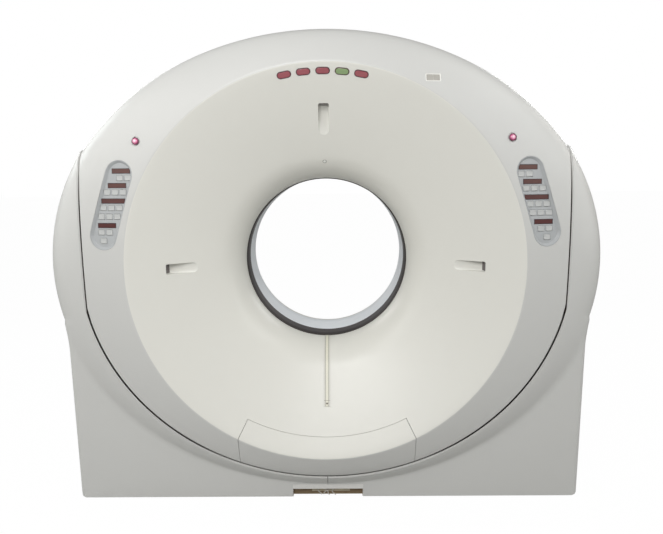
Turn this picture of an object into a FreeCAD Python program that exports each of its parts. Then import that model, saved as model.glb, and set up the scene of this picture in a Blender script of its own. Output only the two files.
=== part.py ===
import FreeCAD, Part
import math
import os

# A tilting medical scanner: a pebble-shaped drum with a flared patient opening, hung on
# two trunnions in a U-shaped stand that closes the pebble's outline and stands on the floor.
# Frame: +X across the patient opening, -Y the patient side (front), +Z up.
# Origin: on the floor, below the middle of the patient opening. All sizes in millimetres.

V = FreeCAD.Vector

# ---------------------------------------------------------------- driving sizes: whole scanner
OVERALL_WIDTH = 2270.0
OVERALL_HEIGHT = 1950.0
OVERALL_DEPTH = 960.0
BORE_HEIGHT = 1015.0        # floor to the axis of the patient opening
TILT_LIMIT = 30.0           # degrees each way
COVER_WALL = 8.0            # moulded covers
LINING_WALL = 6.0           # inner skin of the stand covers, towards the drum
SEAM_GAP = 10.0             # running gap between the drum and the stand
COVER_JOINT = 2.0           # gap where two covers meet
PANEL_JOINT = 0.8           # gap round the lower service panel

# ---------------------------------------------------------------- driving sizes: drum
RIM_RADIUS = 795.0          # crease between the flared cone and the outer band
APERTURE = 720.0
LIP_DEPTH = 135.0           # the flare's inner lip, from the middle plane
FLARE_RADIUS = 185.0        # rounding of the flare's lip
DRUM_HALF_WIDTH = 967.0     # flat sides of the drum inside the stand
SWEEP_RADIUS = 993.0        # belly of the drum: a spheroid about the tilt axis
SWEEP_HALF_LENGTH = 1098.0
# The outer band as seen in section: share of the way outward, and drop behind the front face.
BAND_POLES = ((0.0, 0.0), (0.50, 28.0), (0.93, 52.0), (1.0, 75.0), (1.0, 170.0))
BAND_STEPS = 10

# ---------------------------------------------------------------- driving sizes: stand
STAND_HALF_HEIGHT = 953.0   # the stand's ellipse below the bore's axis
BASE_HALF_WIDTH = 1085.0
BASE_HALF_DEPTH = 398.0
BASE_TOP = 799.0            # the base block ends here, inside the stand's ellipse
BASE_CORNER = 26.0
BASE_CLEARANCE = 4.0        # covers to floor
UNDER_HALF_WIDTH = 760.0    # open floor area under the drum
UNDER_HALF_DEPTH = 338.0

# ---------------------------------------------------------------- driving sizes: front details
LAMP_LENGTH = 55.0
LAMP_WIDTH = 28.0
LAMP_RADIUS = 763.0         # the lamps' pitch circle
LAMP_STEP = 5.5             # degrees
LAMP_COUNT = 5
LAMP_SEAT = 4.0             # depth of the lens's seat
LAMP_PROUD = 2.5
LAMP_EDGE = 1.5             # rounding of the lens
LASER_INNER = 534.0
LASER_OUTER = 651.0
LASER_WIDTH = 42.0
LASER_DEPTH = 30.0
LASER_LEVEL = 30.0          # level part of the scoop's floor
LASER_CORNER = 7.0
LASER_LENS = 3.0
LASER_WINDOW = (26.0, 18.0)
LASER_BEARINGS = (0.0, 90.0, 180.0)
MIC_RADIUS = 429.0
MIC_BORE = 9.0
STRIP_WIDTH = 26.0
STRIP_END_RADIUS = 604.0
STRIP_THICK = 3.0
STRIP_PROUD = 0.8
SERVICE_TOP_RADIUS = 715.0
SERVICE_HALF_WIDTH = 370.0
SERVICE_DEPTH = 75.0        # how far the panel's edge wraps back
STATUS_X = 415.0
STATUS_Z = 734.0
STATUS_WIDTH = 60.0
STATUS_HEIGHT = 31.0
STATUS_SEAT = 4.0
STATUS_SUNK = 1.0           # the window lies this far below the cover
STOP_X = 721.0
STOP_Z = 511.0
STOP_RADIUS = 14.0
STOP_STEM = 7.0
STOP_PROUD = 9.0
STOP_CROWN = 5.0            # rounding of the button's head
STOP_TRAVEL = 4.0
STOP_GUIDE = 24.0           # length of the stem's guide behind the cover

# ---------------------------------------------------------------- driving sizes: control panels
PANEL_X = 834.0
PANEL_Z = 266.0
PANEL_HALF_WIDTH = 57.0
PANEL_LENGTH = 362.0
PANEL_SINK = 12.0           # floor of the tray below the band
TRAY_WALL = 2.0
TRAY_TAPER = 3.0            # the tray's wall slopes in by this much
KEY_WIDTH = 27.0
KEY_HEIGHT = 21.5
KEY_PITCH = 34.0
KEY_TRAVEL = 1.5
KEY_PROUD = KEY_TRAVEL + 1.0  # a pressed key still stands above the tray
KEY_GAP = 0.5
KEY_CORNER = 3.0
KEY_EDGE = 1.0
KEY_SKIRT = 3.5             # part of the key below the tray
DISPLAY_WIDTH = 78.0
DISPLAY_WIDE = 102.0
DISPLAY_HEIGHT = 20.0
DISPLAY_SEAT = 1.0
DISPLAY_PROUD = 0.8
DISPLAY_CORNER = 1.0
# Rows from the top: height above the panel's middle, kind, x of the outermost item, count.
PANEL_ROWS = (
    (134.0, "display", -43.0, 1), (107.0, "key", -37.0, 2), (78.0, "display", -24.0, 1),
    (52.0, "key", 19.0, 3), (18.0, "wide", -6.0, 1), (-9.0, "key", 37.0, 3),
    (-43.0, "key", 47.0, 3), (-78.0, "display", 25.0, 1), (-105.0, "key", 49.0, 2),
    (-139.0, "key", 41.0, 1))

# ---------------------------------------------------------------- driving sizes: inside the drum
ROTOR_INNER = 402.0
ROTOR_OUTER = 800.0
ROTOR_DISC = 30.0           # thickness of the rotor's disc
ROTOR_RIM_WALL = 22.0
ROTOR_RIM_DEPTH = 105.0
ROTOR_HUB_WALL = 26.0
BEARING_WIDTH = 60.0
BEARING_WALL = 55.0
RING_PLATE_Y = 125.0        # front face of the fixed ring plate
RING_PLATE_THICK = 40.0
RING_PLATE_OUTER = 890.0
RING_PLATE_GAP = 6.0        # clear of the rotor's hub
STATOR_GAP = 3.0
STATOR_WALL = 24.0
STATOR_DEPTH = 60.0
RUNNING_GAP = 0.3
SOURCE_RADIUS = 600.0       # X-ray focus to the bore's axis
DETECTOR_INNER = 1042.0     # focus to the face of the detector
DETECTOR_THICK = 68.0
DETECTOR_DEPTH = 130.0
FAN_HALF_ANGLE = 26.0
TUBE_RADIUS = 92.0
TUBE_LENGTH = 240.0
TUBE_CENTRE = 672.0
GENERATOR_SIZE = (230.0, 210.0, 300.0)   # radial, along the axis, tangential
GENERATOR_INNER = 520.0
GENERATOR_CORNER = 12.0
SLIP_RING_WALL = 30.0
SLIP_RING_WIDTH = 34.0
WINDOW_HALF = 95.0
WINDOW_WALL = 3.0
RING_BULGE = 3.0            # rounding of the two dark rings
RING_STEP = 0.5             # the rings stand this far inside the window
CHEEK_INNER = 862.0
CHEEK_HALF_HEIGHT = 170.0
CHEEK_FRONT = -125.0

# ---------------------------------------------------------------- driving sizes: tilt drive
TRUNNION_RADIUS = 55.0
TRUNNION_COLLAR = 78.0
TRUNNION_SPARE = 6.0        # the trunnions end this far past what they carry
BEARING_FIT = 0.05
TILT_BEARING_OUTER = 95.0
PILLAR_X = 992.0
PILLAR_THICK = 38.0
PILLAR_LEG = 95.0
PILLAR_SPREAD = 205.0
PILLAR_BAY_TAPER = 0.8      # the bay's top against its foot
HOUSING_RADIUS = 140.0
GEAR_MODULE = 5.0
SECTOR_TEETH = 160          # teeth of the full circle of the sector
PINION_TEETH = 20
GEAR_WIDTH = 18.0
SECTOR_RIM = 35.0           # the sector's rim below its pitch circle
BACKLASH = 0.5
SECTOR_SPARE = 5.0          # degrees of teeth past each limit
SPOKE_ANGLE = 28.0          # degrees between the sector's three spokes
PINION_SHAFT = 15.0
GEARBOX_SIZE = (36.0, 120.0, 130.0)
GEARBOX_FLANGE = 6.0
GEARBOX_REACH = 140.0       # the flange spans the pillar's bay
MOTOR_RADIUS = 38.0
MOTOR_LENGTH = 220.0

# ---------------------------------------------------------------- driving sizes: base
FOOT_RADIUS = 45.0
FOOT_HEIGHT = 10.0
PLATE_THICK = 20.0
PLATE_INNER = 800.0
PLATE_HALF_DEPTH = 325.0
ANCHOR_X = 1000.0
ANCHOR_Y = 270.0
ANCHOR_RADIUS = 11.0
FOOT_X = 925.0
FOOT_Y = 285.0
SILL_THICK = 20.0
SILL_TOP = 52.0
PORT_HALF_WIDTH = 154.0
PORT_HEIGHT = 40.0
PORT_FRAME = 21.0
PORT_DEPTH = 24.0
LOUVRE_COUNT = 11
LOUVRE_PITCH = 22.0
LOUVRE_SLOT = 9.0
LOUVRE_LENGTH = 240.0
LOUVRE_CENTRE = 660.0       # from the bore's axis, along each upper diagonal

# ---------------------------------------------------------------- values worked out from these
HALF_WIDTH = OVERALL_WIDTH / 2
HALF_HEIGHT = OVERALL_HEIGHT - BORE_HEIGHT
HALF_DEPTH = OVERALL_DEPTH / 2
LIP_RADIUS = APERTURE / 2
FAR = 2 * OVERALL_WIDTH     # past everything
AXIS = V(0, 0, BORE_HEIGHT)
BAND_DROP = BAND_POLES[-1][1]
STAND_SIDE = DRUM_HALF_WIDTH + SEAM_GAP
PLATE_OUTER = BASE_HALF_WIDTH - COVER_WALL - RUNNING_GAP
DRUM_INSIDE = DRUM_HALF_WIDTH - COVER_WALL - RUNNING_GAP


# ---------------------------------------------------------------- plain solids
def block(x0, x1, y0, y1, z0, z1):
    """A box between two corners, in the scanner's frame."""
    return Part.makeBox(x1 - x0, y1 - y0, z1 - z0, V(x0, y0, z0))


def ring(outer, inner, y0, y1):
    """A ring about the axis of the patient opening, from y0 to y1."""
    body = Part.makeCylinder(outer, y1 - y0, V(0, y0, BORE_HEIGHT), V(0, 1, 0))
    return body.cut(Part.makeCylinder(inner, y1 - y0, V(0, y0, BORE_HEIGHT), V(0, 1, 0)))


def rod(radius, x0, x1, z=0.0):
    """A round bar along X, at a height from the tilt axis."""
    return Part.makeCylinder(radius, x1 - x0, V(x0, 0, BORE_HEIGHT + z), V(1, 0, 0))


def revolve(edges):
    """A solid of revolution about the patient opening's axis, from a closed (x, y) outline."""
    return Part.Face(Part.Wire(edges)).revolve(AXIS, V(0, 1, 0), 360)


def lines(points):
    """Straight edges joining the points in turn."""
    return [Part.makeLine(a, b) for a, b in zip(points, points[1:])]


def mirrored(shape):
    """The same piece on the other side of the patient opening."""
    return shape.mirror(V(0, 0, 0), V(1, 0, 0))


def save(name, *solids):
    """Writes one node: one solid, or a group of separate ones."""
    shape = solids[0] if len(solids) == 1 else Part.makeCompound(list(solids))
    shape.exportStep(os.path.join("parts", name + ".step"))
    print(name, len(shape.Solids), "solids", round(shape.Volume / 1e6, 3), "litres", shape.isValid())


# ---------------------------------------------------------------- the pebble and its belly
def band_section(t):
    """Share outward and drop of the band's section curve at t from 0 (rim) to 1 (side)."""
    n = len(BAND_POLES) - 1
    weights = [math.comb(n, k) * t ** k * (1 - t) ** (n - k) for k in range(n + 1)]
    share = sum(w * p[0] for w, p in zip(weights, BAND_POLES))
    drop = sum(w * p[1] for w, p in zip(weights, BAND_POLES))
    return share, drop


def oval(half_width, half_height, y):
    """An upright ellipse, or a circle, about the axis of the patient opening."""
    centre = V(0, y, BORE_HEIGHT)
    if half_width - half_height < 0.01:
        edge = Part.Circle(centre, V(0, -1, 0), half_width)
        edge.XAxis = V(1, 0, 0)
    else:
        edge = Part.Ellipse(centre + V(half_width, 0, 0), centre + V(0, 0, half_height), centre)
    return Part.Wire([edge.toShape()])


def pebble(half_height, inset):
    """The rounded outer body, each wall moved in by inset."""
    reach = HALF_WIDTH - inset - RIM_RADIUS
    rise = half_height - inset - RIM_RADIUS
    sections = []
    for step in range(BAND_STEPS + 1):
        share, drop = band_section(step / BAND_STEPS)
        y = inset + drop - HALF_DEPTH
        sections.append(oval(RIM_RADIUS + reach * share, RIM_RADIUS + rise * share, y))
    front = Part.makeLoft(sections, True, False)
    side_y = HALF_DEPTH - inset - BAND_DROP
    outline = oval(RIM_RADIUS + reach, RIM_RADIUS + rise, -side_y)
    barrel = Part.Face(outline).extrude(V(0, 2 * side_y, 0))
    return barrel.fuse([front, front.mirror(V(0, 0, 0), V(0, 1, 0))]).removeSplitter()


def belly(grow):
    """The spheroid about the tilt axis that the drum's underside sweeps through."""
    curve = Part.Ellipse(V(SWEEP_HALF_LENGTH + grow, 0, 0), V(0, 0, SWEEP_RADIUS + grow), V(0, 0, 0))
    start, end = curve.value(0), curve.value(math.pi)
    face = Part.Face(Part.Wire([Part.Arc(curve, 0, math.pi).toShape(), Part.makeLine(end, start)]))
    solid = face.revolve(V(0, 0, 0), V(1, 0, 0), 360)
    solid.translate(AXIS)
    return solid


def drum_space(grow):
    """The space of the tilting drum between the stand's arms, grown on every side."""
    side = DRUM_HALF_WIDTH + grow
    corners = block(-side - 1, side + 1, -FAR, FAR, -FAR, BORE_HEIGHT).cut(belly(grow))
    return block(-side, side, -FAR, FAR, -FAR, FAR).cut(corners)


def tilting_body(inset):
    """The drum's outer form: the pebble inside the drum's space."""
    return pebble(HALF_HEIGHT, inset).common(drum_space(-inset))


# ---------------------------------------------------------------- the flared opening
# The cone runs from the crease at the rim and touches the rounding of the lip.
ARC_X = LIP_RADIUS + FLARE_RADIUS
FLARE_WIDE = RIM_RADIUS - ARC_X
FLARE_DEEP = HALF_DEPTH - LIP_DEPTH
CONE_LENGTH = math.sqrt(FLARE_WIDE ** 2 + FLARE_DEEP ** 2 - FLARE_RADIUS ** 2)
CONE_ANGLE = math.atan2(FLARE_DEEP, FLARE_WIDE) - math.atan2(FLARE_RADIUS, CONE_LENGTH)
CONE_SLOPE = math.tan(CONE_ANGLE)


def flare_edges(offset):
    """The front flare's section, moved into the cover by offset: lip, rounding, cone, rim."""
    turn = math.pi / 2 - CONE_ANGLE
    radius = FLARE_RADIUS - offset
    z = BORE_HEIGHT

    def on_arc(angle):
        return V(ARC_X - radius * math.cos(angle), -LIP_DEPTH - radius * math.sin(angle), z)

    lip = on_arc(0)
    end = on_arc(turn)
    along = V(math.cos(CONE_ANGLE), -math.sin(CONE_ANGLE), 0) * (CONE_LENGTH + FLARE_RADIUS)
    arc = Part.Arc(lip, on_arc(turn / 2), end).toShape()
    return lip, arc, end, end + along


def flare_space(offset):
    """The air inside the flared opening, front and rear, grown by offset."""
    lip, arc, end, outer = flare_edges(offset)
    far = V(0, outer.y, BORE_HEIGHT)
    middle = V(lip.x, 0, BORE_HEIGHT)
    front = revolve(lines([AXIS, middle, lip]) + [arc] + lines([end, outer, far, AXIS]))
    return front, front.mirror(V(0, 0, 0), V(0, 1, 0))


def flare_y(radius):
    """Depth of the front flare at a radius on its cone."""
    return -HALF_DEPTH + (RIM_RADIUS - radius) * CONE_SLOPE


def seat(point, outward, up):
    """A local frame on a surface: z out of it, y along `up`, x across."""
    z = V(*outward).normalize()
    y = (V(*up) - z * V(*up).dot(z)).normalize()
    return FreeCAD.Placement(V(*point), FreeCAD.Rotation(y.cross(z), y, z, "ZXY"))


def cone_seat(radius, degrees):
    """A frame on the flare's cone: y runs outward along the slope, z into the room."""
    a = math.radians(degrees)
    out = V(math.cos(a), 0, math.sin(a))
    point = AXIS + out * radius + V(0, flare_y(radius), 0)
    normal = out * -math.sin(CONE_ANGLE) + V(0, -math.cos(CONE_ANGLE), 0)
    return seat(point, normal, out)


def band_y(x, z):
    """Depth of the outer band's surface at x, and z above the bore's axis."""
    low, high = 0.0, 1.0
    for _ in range(40):
        t = (low + high) / 2
        share, drop = band_section(t)
        half_x = RIM_RADIUS + (HALF_WIDTH - RIM_RADIUS) * share
        half_z = RIM_RADIUS + (HALF_HEIGHT - RIM_RADIUS) * share
        inside = (x / half_x) ** 2 + (z / half_z) ** 2 < 1
        low, high = (low, t) if inside else (t, high)
    return drop - HALF_DEPTH


def band_seat(x, z, up):
    """A frame on the outer band: z square to it, y along `up`."""
    h = 1.0
    slope_x = (band_y(x + h, z) - band_y(x - h, z)) / (2 * h)
    slope_z = (band_y(x, z + h) - band_y(x, z - h)) / (2 * h)
    return seat((x, band_y(x, z), BORE_HEIGHT + z), (slope_x, -1, slope_z), up)


def placed(shape, frame):
    """A piece drawn in a local frame, put in its place."""
    copy = shape.copy()
    copy.Placement = frame.multiply(copy.Placement)
    return copy


def slab(width, height, corner, z0, z1):
    """A plate with rounded corners, centred, from z0 to z1 in a local frame."""
    body = Part.makeBox(width, height, z1 - z0, V(-width / 2, -height / 2, z0))
    upright = [e for e in body.Edges if abs(e.tangentAt(e.FirstParameter).z) > 0.9]
    return body.makeFillet(corner, upright)


# ---------------------------------------------------------------- drum covers
def drum_shell(backing):
    """The hollow moulded skin of the drum, thicker where blocks of backing stand inside."""
    hollow = tilting_body(COVER_WALL).cut(list(flare_space(COVER_WALL)) + backing)
    return tilting_body(0).cut(list(flare_space(0)) + [hollow])


def laser_scoops():
    """Wedge pockets that sink outward, ending in a square wall."""
    middle = (LASER_INNER + LASER_OUTER) / 2
    reach = (LASER_OUTER - LASER_INNER) / 2 / math.cos(CONE_ANGLE)
    half = LASER_WIDTH / 2
    level = reach - LASER_LEVEL
    points = [V(-half, -reach, COVER_WALL), V(-half, reach, COVER_WALL), V(-half, reach, -LASER_DEPTH),
              V(-half, level, -LASER_DEPTH), V(-half, -reach, 0), V(-half, -reach, COVER_WALL)]
    wedge = Part.Face(Part.Wire(lines(points))).extrude(V(LASER_WIDTH, 0, 0))
    floor = [e for e in wedge.Edges if abs(e.tangentAt(e.FirstParameter).z) > 0.9]
    wedge = wedge.makeFillet(LASER_CORNER, [e for e in floor if e.CenterOfMass.y > 0])
    return [(placed(wedge, cone_seat(middle, a)), cone_seat(middle, a), reach) for a in LASER_BEARINGS]


def service_outline(clearance):
    """The lower access panel: a prism between two cover joints, narrower by clearance."""
    half = SERVICE_HALF_WIDTH - clearance
    angle = math.asin(SERVICE_HALF_WIDTH / RIM_RADIUS)
    top = SERVICE_TOP_RADIUS + clearance
    y = -FAR
    corner = V(half - (RIM_RADIUS - top) * math.sin(angle), y, BORE_HEIGHT)
    corner.z -= math.sqrt(top ** 2 - corner.x ** 2)
    shoulder = V(half, y, BORE_HEIGHT - math.sqrt(RIM_RADIUS ** 2 - half ** 2))
    low = V(half, y, -FAR)
    flip = [V(-p.x, p.y, p.z) for p in (corner, shoulder, low)]
    arc = Part.Arc(flip[0], V(0, y, BORE_HEIGHT - top), corner).toShape()
    edges = [arc] + lines([corner, shoulder, low, flip[2], flip[1], flip[0]])
    wrapped = SERVICE_DEPTH - HALF_DEPTH - clearance
    return Part.Face(Part.Wire(edges)).extrude(V(0, wrapped - y, 0))


def strip_section(grow, sink):
    """The strip down the flare's middle, as a slice of the flare's own curve."""
    lip, arc, end, outer = flare_edges(sink)
    lip2, arc2, end2, outer2 = flare_edges(-STRIP_PROUD - grow)
    half = STRIP_WIDTH / 2 + grow
    loop = [arc] + lines([end, outer, outer2, end2]) + [arc2] + lines([lip2, lip])
    face = Part.Face(Part.Wire(Part.__sortEdges__(loop)))
    face.rotate(AXIS, V(0, 1, 0), 90)
    body = face.extrude(V(2 * half, 0, 0))
    body.translate(V(-half, 0, 0))
    limit = STRIP_END_RADIUS + grow
    return body.common(block(-half, half, -FAR, FAR, BORE_HEIGHT - limit, BORE_HEIGHT))


def lamp_seats():
    """Frames of the indicator lamps, from left to right."""
    first = 90 + LAMP_STEP * (LAMP_COUNT - 1) / 2
    return [cone_seat(LAMP_RADIUS, first - LAMP_STEP * k) for k in range(LAMP_COUNT)]


def pill(length, width, z0, z1):
    """A plate with round ends, long across the local frame."""
    return slab(length, width, width / 2 - 0.01, z0, z1)


def stop_seat():
    """Frame of the right-hand emergency stop button on the band."""
    return band_seat(STOP_X, STOP_Z, (0, 0, 1))


def panel_seat():
    """Frame of the right-hand control panel, its long side along the band's circle."""
    return band_seat(PANEL_X, PANEL_Z, (-PANEL_Z, 0, PANEL_X))


def keyboard_seat():
    """The same panel's frame turned level, for its rows of keys and displays."""
    frame = panel_seat()
    outward = frame.Rotation.multVec(V(0, 0, 1))
    return seat(frame.Base, outward, (0, 0, 1))


def status_seat():
    """Frame of the small status window on the band."""
    return band_seat(STATUS_X, STATUS_Z, (0, 0, 1))


def panel_well(grow, z0, z1):
    """The control panel's stadium as a tapered plug: full size at z = 0, narrower below."""
    def outline(z):
        side = grow + TRAY_TAPER * z / PANEL_SINK
        half = PANEL_HALF_WIDTH + side
        plate = slab(2 * half, PANEL_LENGTH + 2 * side, half - 0.01, z, z + 1)
        return min(plate.Faces, key=lambda f: f.CenterOfMass.z).OuterWire

    return Part.makeLoft([outline(z0), outline(z1)], True, True)


def panel_floor(grow, z0, z1):
    """The flat bottom of the control panel's tray."""
    half = PANEL_HALF_WIDTH - TRAY_TAPER + grow
    return slab(2 * half, PANEL_LENGTH + 2 * (grow - TRAY_TAPER), half - 0.01, z0, z1)


def cover_backing():
    """Blocks of cover material behind the pockets of the front cover."""
    wall = COVER_WALL
    _, _, reach = laser_scoops()[0]
    scoop = Part.makeBox(LASER_WIDTH + 2 * wall, 2 * (reach + wall), LASER_DEPTH + wall,
                         V(-LASER_WIDTH / 2 - wall, -reach - wall, -LASER_DEPTH - wall))
    lamp = slab(LAMP_LENGTH + wall, LAMP_WIDTH + wall, wall, -LAMP_SEAT - wall, 0)
    deep = STOP_TRAVEL + STOP_GUIDE
    stop = placed(Part.makeCylinder(STOP_RADIUS + wall, deep, V(0, 0, -deep)), stop_seat())
    blocks = [placed(scoop, frame) for _, frame, _ in laser_scoops()]
    blocks += [placed(lamp, frame) for frame in lamp_seats()]
    return blocks + [stop, mirrored(stop)]


def front_openings():
    """Everything that is cut into the front cover."""
    wall = COVER_WALL
    cuts = [wedge for wedge, _, _ in laser_scoops()]
    cuts += [placed(pill(LAMP_LENGTH, LAMP_WIDTH, -LAMP_SEAT, wall), f) for f in lamp_seats()]
    cuts.append(placed(Part.makeCylinder(MIC_BORE, 2 * wall, V(0, 0, -wall / 2)), mic_seat()))
    cuts.append(placed(slab(STATUS_WIDTH, STATUS_HEIGHT, KEY_CORNER, -STATUS_SEAT, wall), status_seat()))
    cuts.append(strip_section(RUNNING_GAP, STRIP_THICK))
    well = placed(panel_well(KEY_GAP, -PANEL_SINK, wall), panel_seat())
    hole = placed(panel_floor(KEY_GAP, -4 * wall, -PANEL_SINK), panel_seat())
    through = STOP_TRAVEL + STOP_GUIDE + wall
    guide = Part.makeCylinder(STOP_STEM + RUNNING_GAP, through + wall, V(0, 0, -through))
    guide = placed(guide, stop_seat())
    sink = Part.makeCylinder(STOP_RADIUS + KEY_GAP, STOP_TRAVEL + wall, V(0, 0, -STOP_TRAVEL))
    sink = placed(sink, stop_seat())
    for cut in (well, hole, guide, sink):
        cuts += [cut, mirrored(cut)]
    return cuts


def make_drum_covers():
    """Front cover, rear cover and lower service panel."""
    lip_hole = Part.makeCylinder(LIP_RADIUS + COVER_WALL + COVER_JOINT / 2, 2 * LIP_DEPTH,
                                 V(0, -LIP_DEPTH, BORE_HEIGHT), V(0, 1, 0))
    trunnion_holes = rod(TRUNNION_COLLAR + SEAM_GAP, -FAR, FAR)
    shell = drum_shell(cover_backing()).cut([lip_hole, trunnion_holes])
    front = shell.common(block(-FAR, FAR, -FAR, -COVER_JOINT / 2, -FAR, FAR))
    rear = shell.common(block(-FAR, FAR, COVER_JOINT / 2, FAR, -FAR, FAR))
    front = front.cut(front_openings())
    service = front.common(service_outline(PANEL_JOINT))
    front = front.cut(service_outline(0))
    rear = rear.cut(rear_louvres())
    save("front_cover", front)
    save("service_panel", service)
    save("rear_cover", rear)


def mic_seat():
    """The microphone's frame on the flare's rounding above the bore."""
    turn = math.acos((ARC_X - MIC_RADIUS) / FLARE_RADIUS)
    point = AXIS + V(0, -LIP_DEPTH - FLARE_RADIUS * math.sin(turn), MIC_RADIUS)
    normal = V(0, -math.sin(turn), -math.cos(turn))
    return seat(point, normal, (0, 0, 1))


def rear_louvres():
    """Slots that let warm air out of the rear flare's upper left and right."""
    slots = []
    for side in (-1, 1):
        for k in range(LOUVRE_COUNT):
            offset = (k - (LOUVRE_COUNT - 1) / 2) * LOUVRE_PITCH
            slot = pill(LOUVRE_LENGTH, LOUVRE_SLOT, -3 * COVER_WALL, 3 * COVER_WALL)
            slot.translate(V(0, offset, 0))
            frame = cone_seat(LOUVRE_CENTRE, 90 + side * 45)
            slots.append(placed(slot, frame).mirror(V(0, 0, 0), V(0, 1, 0)))
    return slots


# ---------------------------------------------------------------- trim on the front cover
def make_front_trim():
    """Lamp lenses, laser windows, centre strip and the rings of the patient opening."""
    lenses = []
    for frame in lamp_seats():
        lens = pill(LAMP_LENGTH - 2 * RUNNING_GAP, LAMP_WIDTH - 2 * RUNNING_GAP, -LAMP_SEAT, LAMP_PROUD)
        top = [e for e in lens.Edges if e.BoundBox.ZMin > LAMP_PROUD - 0.1]
        lenses.append(placed(lens.makeFillet(LAMP_EDGE, top), frame))
    green = lenses.pop(3)
    save("lamp_lenses_red", *lenses)
    save("lamp_lens_green", green)

    windows = []
    for _, frame, reach in laser_scoops():
        width, height = LASER_WINDOW
        low = LASER_CORNER / 2 - LASER_DEPTH
        lens = Part.makeBox(width, LASER_LENS, height, V(-width / 2, reach - LASER_LENS, low))
        windows.append(placed(lens, frame))
    save("laser_lenses", *windows)
    save("centre_strip", strip_section(0, STRIP_THICK))

    inner = LIP_RADIUS
    save("scan_window", ring(inner, inner - WINDOW_WALL, -WINDOW_HALF, WINDOW_HALF))
    trims = []
    low = inner - WINDOW_WALL - RING_STEP
    for side in (-1, 1):
        y0, y1 = sorted((side * WINDOW_HALF, side * LIP_DEPTH))
        trim = ring(inner + COVER_WALL, low, y0, y1)
        edges = [e for e in trim.Edges if e.Closed and abs(e.Curve.Radius - low) < RUNNING_GAP]
        trims.append(trim.makeFillet(RING_BULGE, edges))
    save("bore_rings", *trims)


# ---------------------------------------------------------------- control panels
def panel_items():
    """Keys and displays of one panel: kind, x and y in the level frame."""
    items = []
    for height, kind, outer, count in PANEL_ROWS:
        for k in range(count):
            items.append((kind, outer - k * KEY_PITCH, height))
    return items


def display_size(kind):
    return (DISPLAY_WIDE if kind == "wide" else DISPLAY_WIDTH), DISPLAY_HEIGHT


def make_panels():
    """Trays, displays, keys and emergency stops, made on the right and mirrored."""
    frame, level = panel_seat(), keyboard_seat()
    outside = panel_well(0, -PANEL_SINK, 0)
    inside = panel_well(-TRAY_WALL, -PANEL_SINK, 0)
    floor_plate = panel_floor(0, -PANEL_SINK - TRAY_WALL, -PANEL_SINK)
    tray = placed(outside.cut(inside).fuse(floor_plate), frame)
    floor = -PANEL_SINK
    displays, keys, holes = [], [], []
    for kind, x, y in panel_items():
        if kind == "key":
            hole = slab(KEY_WIDTH + 2 * KEY_GAP, KEY_HEIGHT + 2 * KEY_GAP, KEY_CORNER,
                        floor - 2 * TRAY_WALL, floor + TRAY_WALL)
            low = floor - TRAY_WALL - KEY_SKIRT
            key = slab(KEY_WIDTH, KEY_HEIGHT, KEY_CORNER, low, floor + KEY_PROUD)
            top = [e for e in key.Edges if e.BoundBox.ZMin > floor + KEY_PROUD - 0.1]
            key = key.makeFillet(KEY_EDGE, top)
            key.translate(V(x, y, 0))
            keys.append(placed(key, level))
        else:
            width, height = display_size(kind)
            low = floor - DISPLAY_SEAT
            hole = slab(width + 2 * RUNNING_GAP, height + 2 * RUNNING_GAP, DISPLAY_CORNER,
                        low, floor + TRAY_WALL)
            glass = slab(width, height, DISPLAY_CORNER, low, floor + DISPLAY_PROUD)
            glass.translate(V(x, y, 0))
            displays.append(placed(glass, level))
        hole.translate(V(x, y, 0))
        holes.append(placed(hole, level))
    tray = tray.cut(holes)
    save("control_panel_right", tray)
    save("control_panel_left", mirrored(tray))
    status = slab(STATUS_WIDTH - 2 * RUNNING_GAP, STATUS_HEIGHT - 2 * RUNNING_GAP, KEY_CORNER,
                  -STATUS_SEAT, -STATUS_SUNK)
    displays += [mirrored(d) for d in displays] + [placed(status, status_seat())]
    save("display_windows", *displays)
    for number, key in enumerate(keys, 1):
        save("key_right_%02d" % number, key)
        save("key_left_%02d" % number, mirrored(key))

    stem_low = -STOP_TRAVEL - STOP_GUIDE + COVER_WALL / 2
    stem = Part.makeCylinder(STOP_STEM, STOP_PROUD / 2 - stem_low, V(0, 0, stem_low))
    head = Part.makeCylinder(STOP_RADIUS, STOP_PROUD, V(0, 0, RUNNING_GAP))
    crown = [e for e in head.Edges if e.Closed and e.CenterOfMass.z > STOP_PROUD / 2]
    button = placed(stem.fuse(head.makeFillet(STOP_CROWN, crown)), stop_seat())
    save("estop_right", button)
    save("estop_left", mirrored(button))


# ---------------------------------------------------------------- stand covers
def stand_form(inset):
    """The stand's outer form: the lower pebble with its arms, and the base block."""
    body = pebble(STAND_HALF_HEIGHT, inset)
    half_x, half_y = BASE_HALF_WIDTH - inset, BASE_HALF_DEPTH - inset
    low = BASE_CLEARANCE if inset == 0 else BASE_CLEARANCE - FAR
    base = block(-half_x, half_x, -half_y, half_y, low, BASE_TOP)
    upright = [e for e in base.Edges if abs(e.tangentAt(e.FirstParameter).z) > 0.9]
    base = base.makeFillet(BASE_CORNER - inset, upright)
    body = body.common(block(-FAR, FAR, -FAR, FAR, BASE_CLEARANCE if inset == 0 else -FAR, FAR))
    return body.fuse(base)


def stand_space(grow):
    """What the stand leaves free: the drum's space and the floor area under it."""
    half_x, half_y = UNDER_HALF_WIDTH + grow, UNDER_HALF_DEPTH + grow
    floor_area = block(-half_x, half_x, -half_y, half_y, -FAR, BASE_TOP)
    return [drum_space(SEAM_GAP + grow), floor_area]


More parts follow.
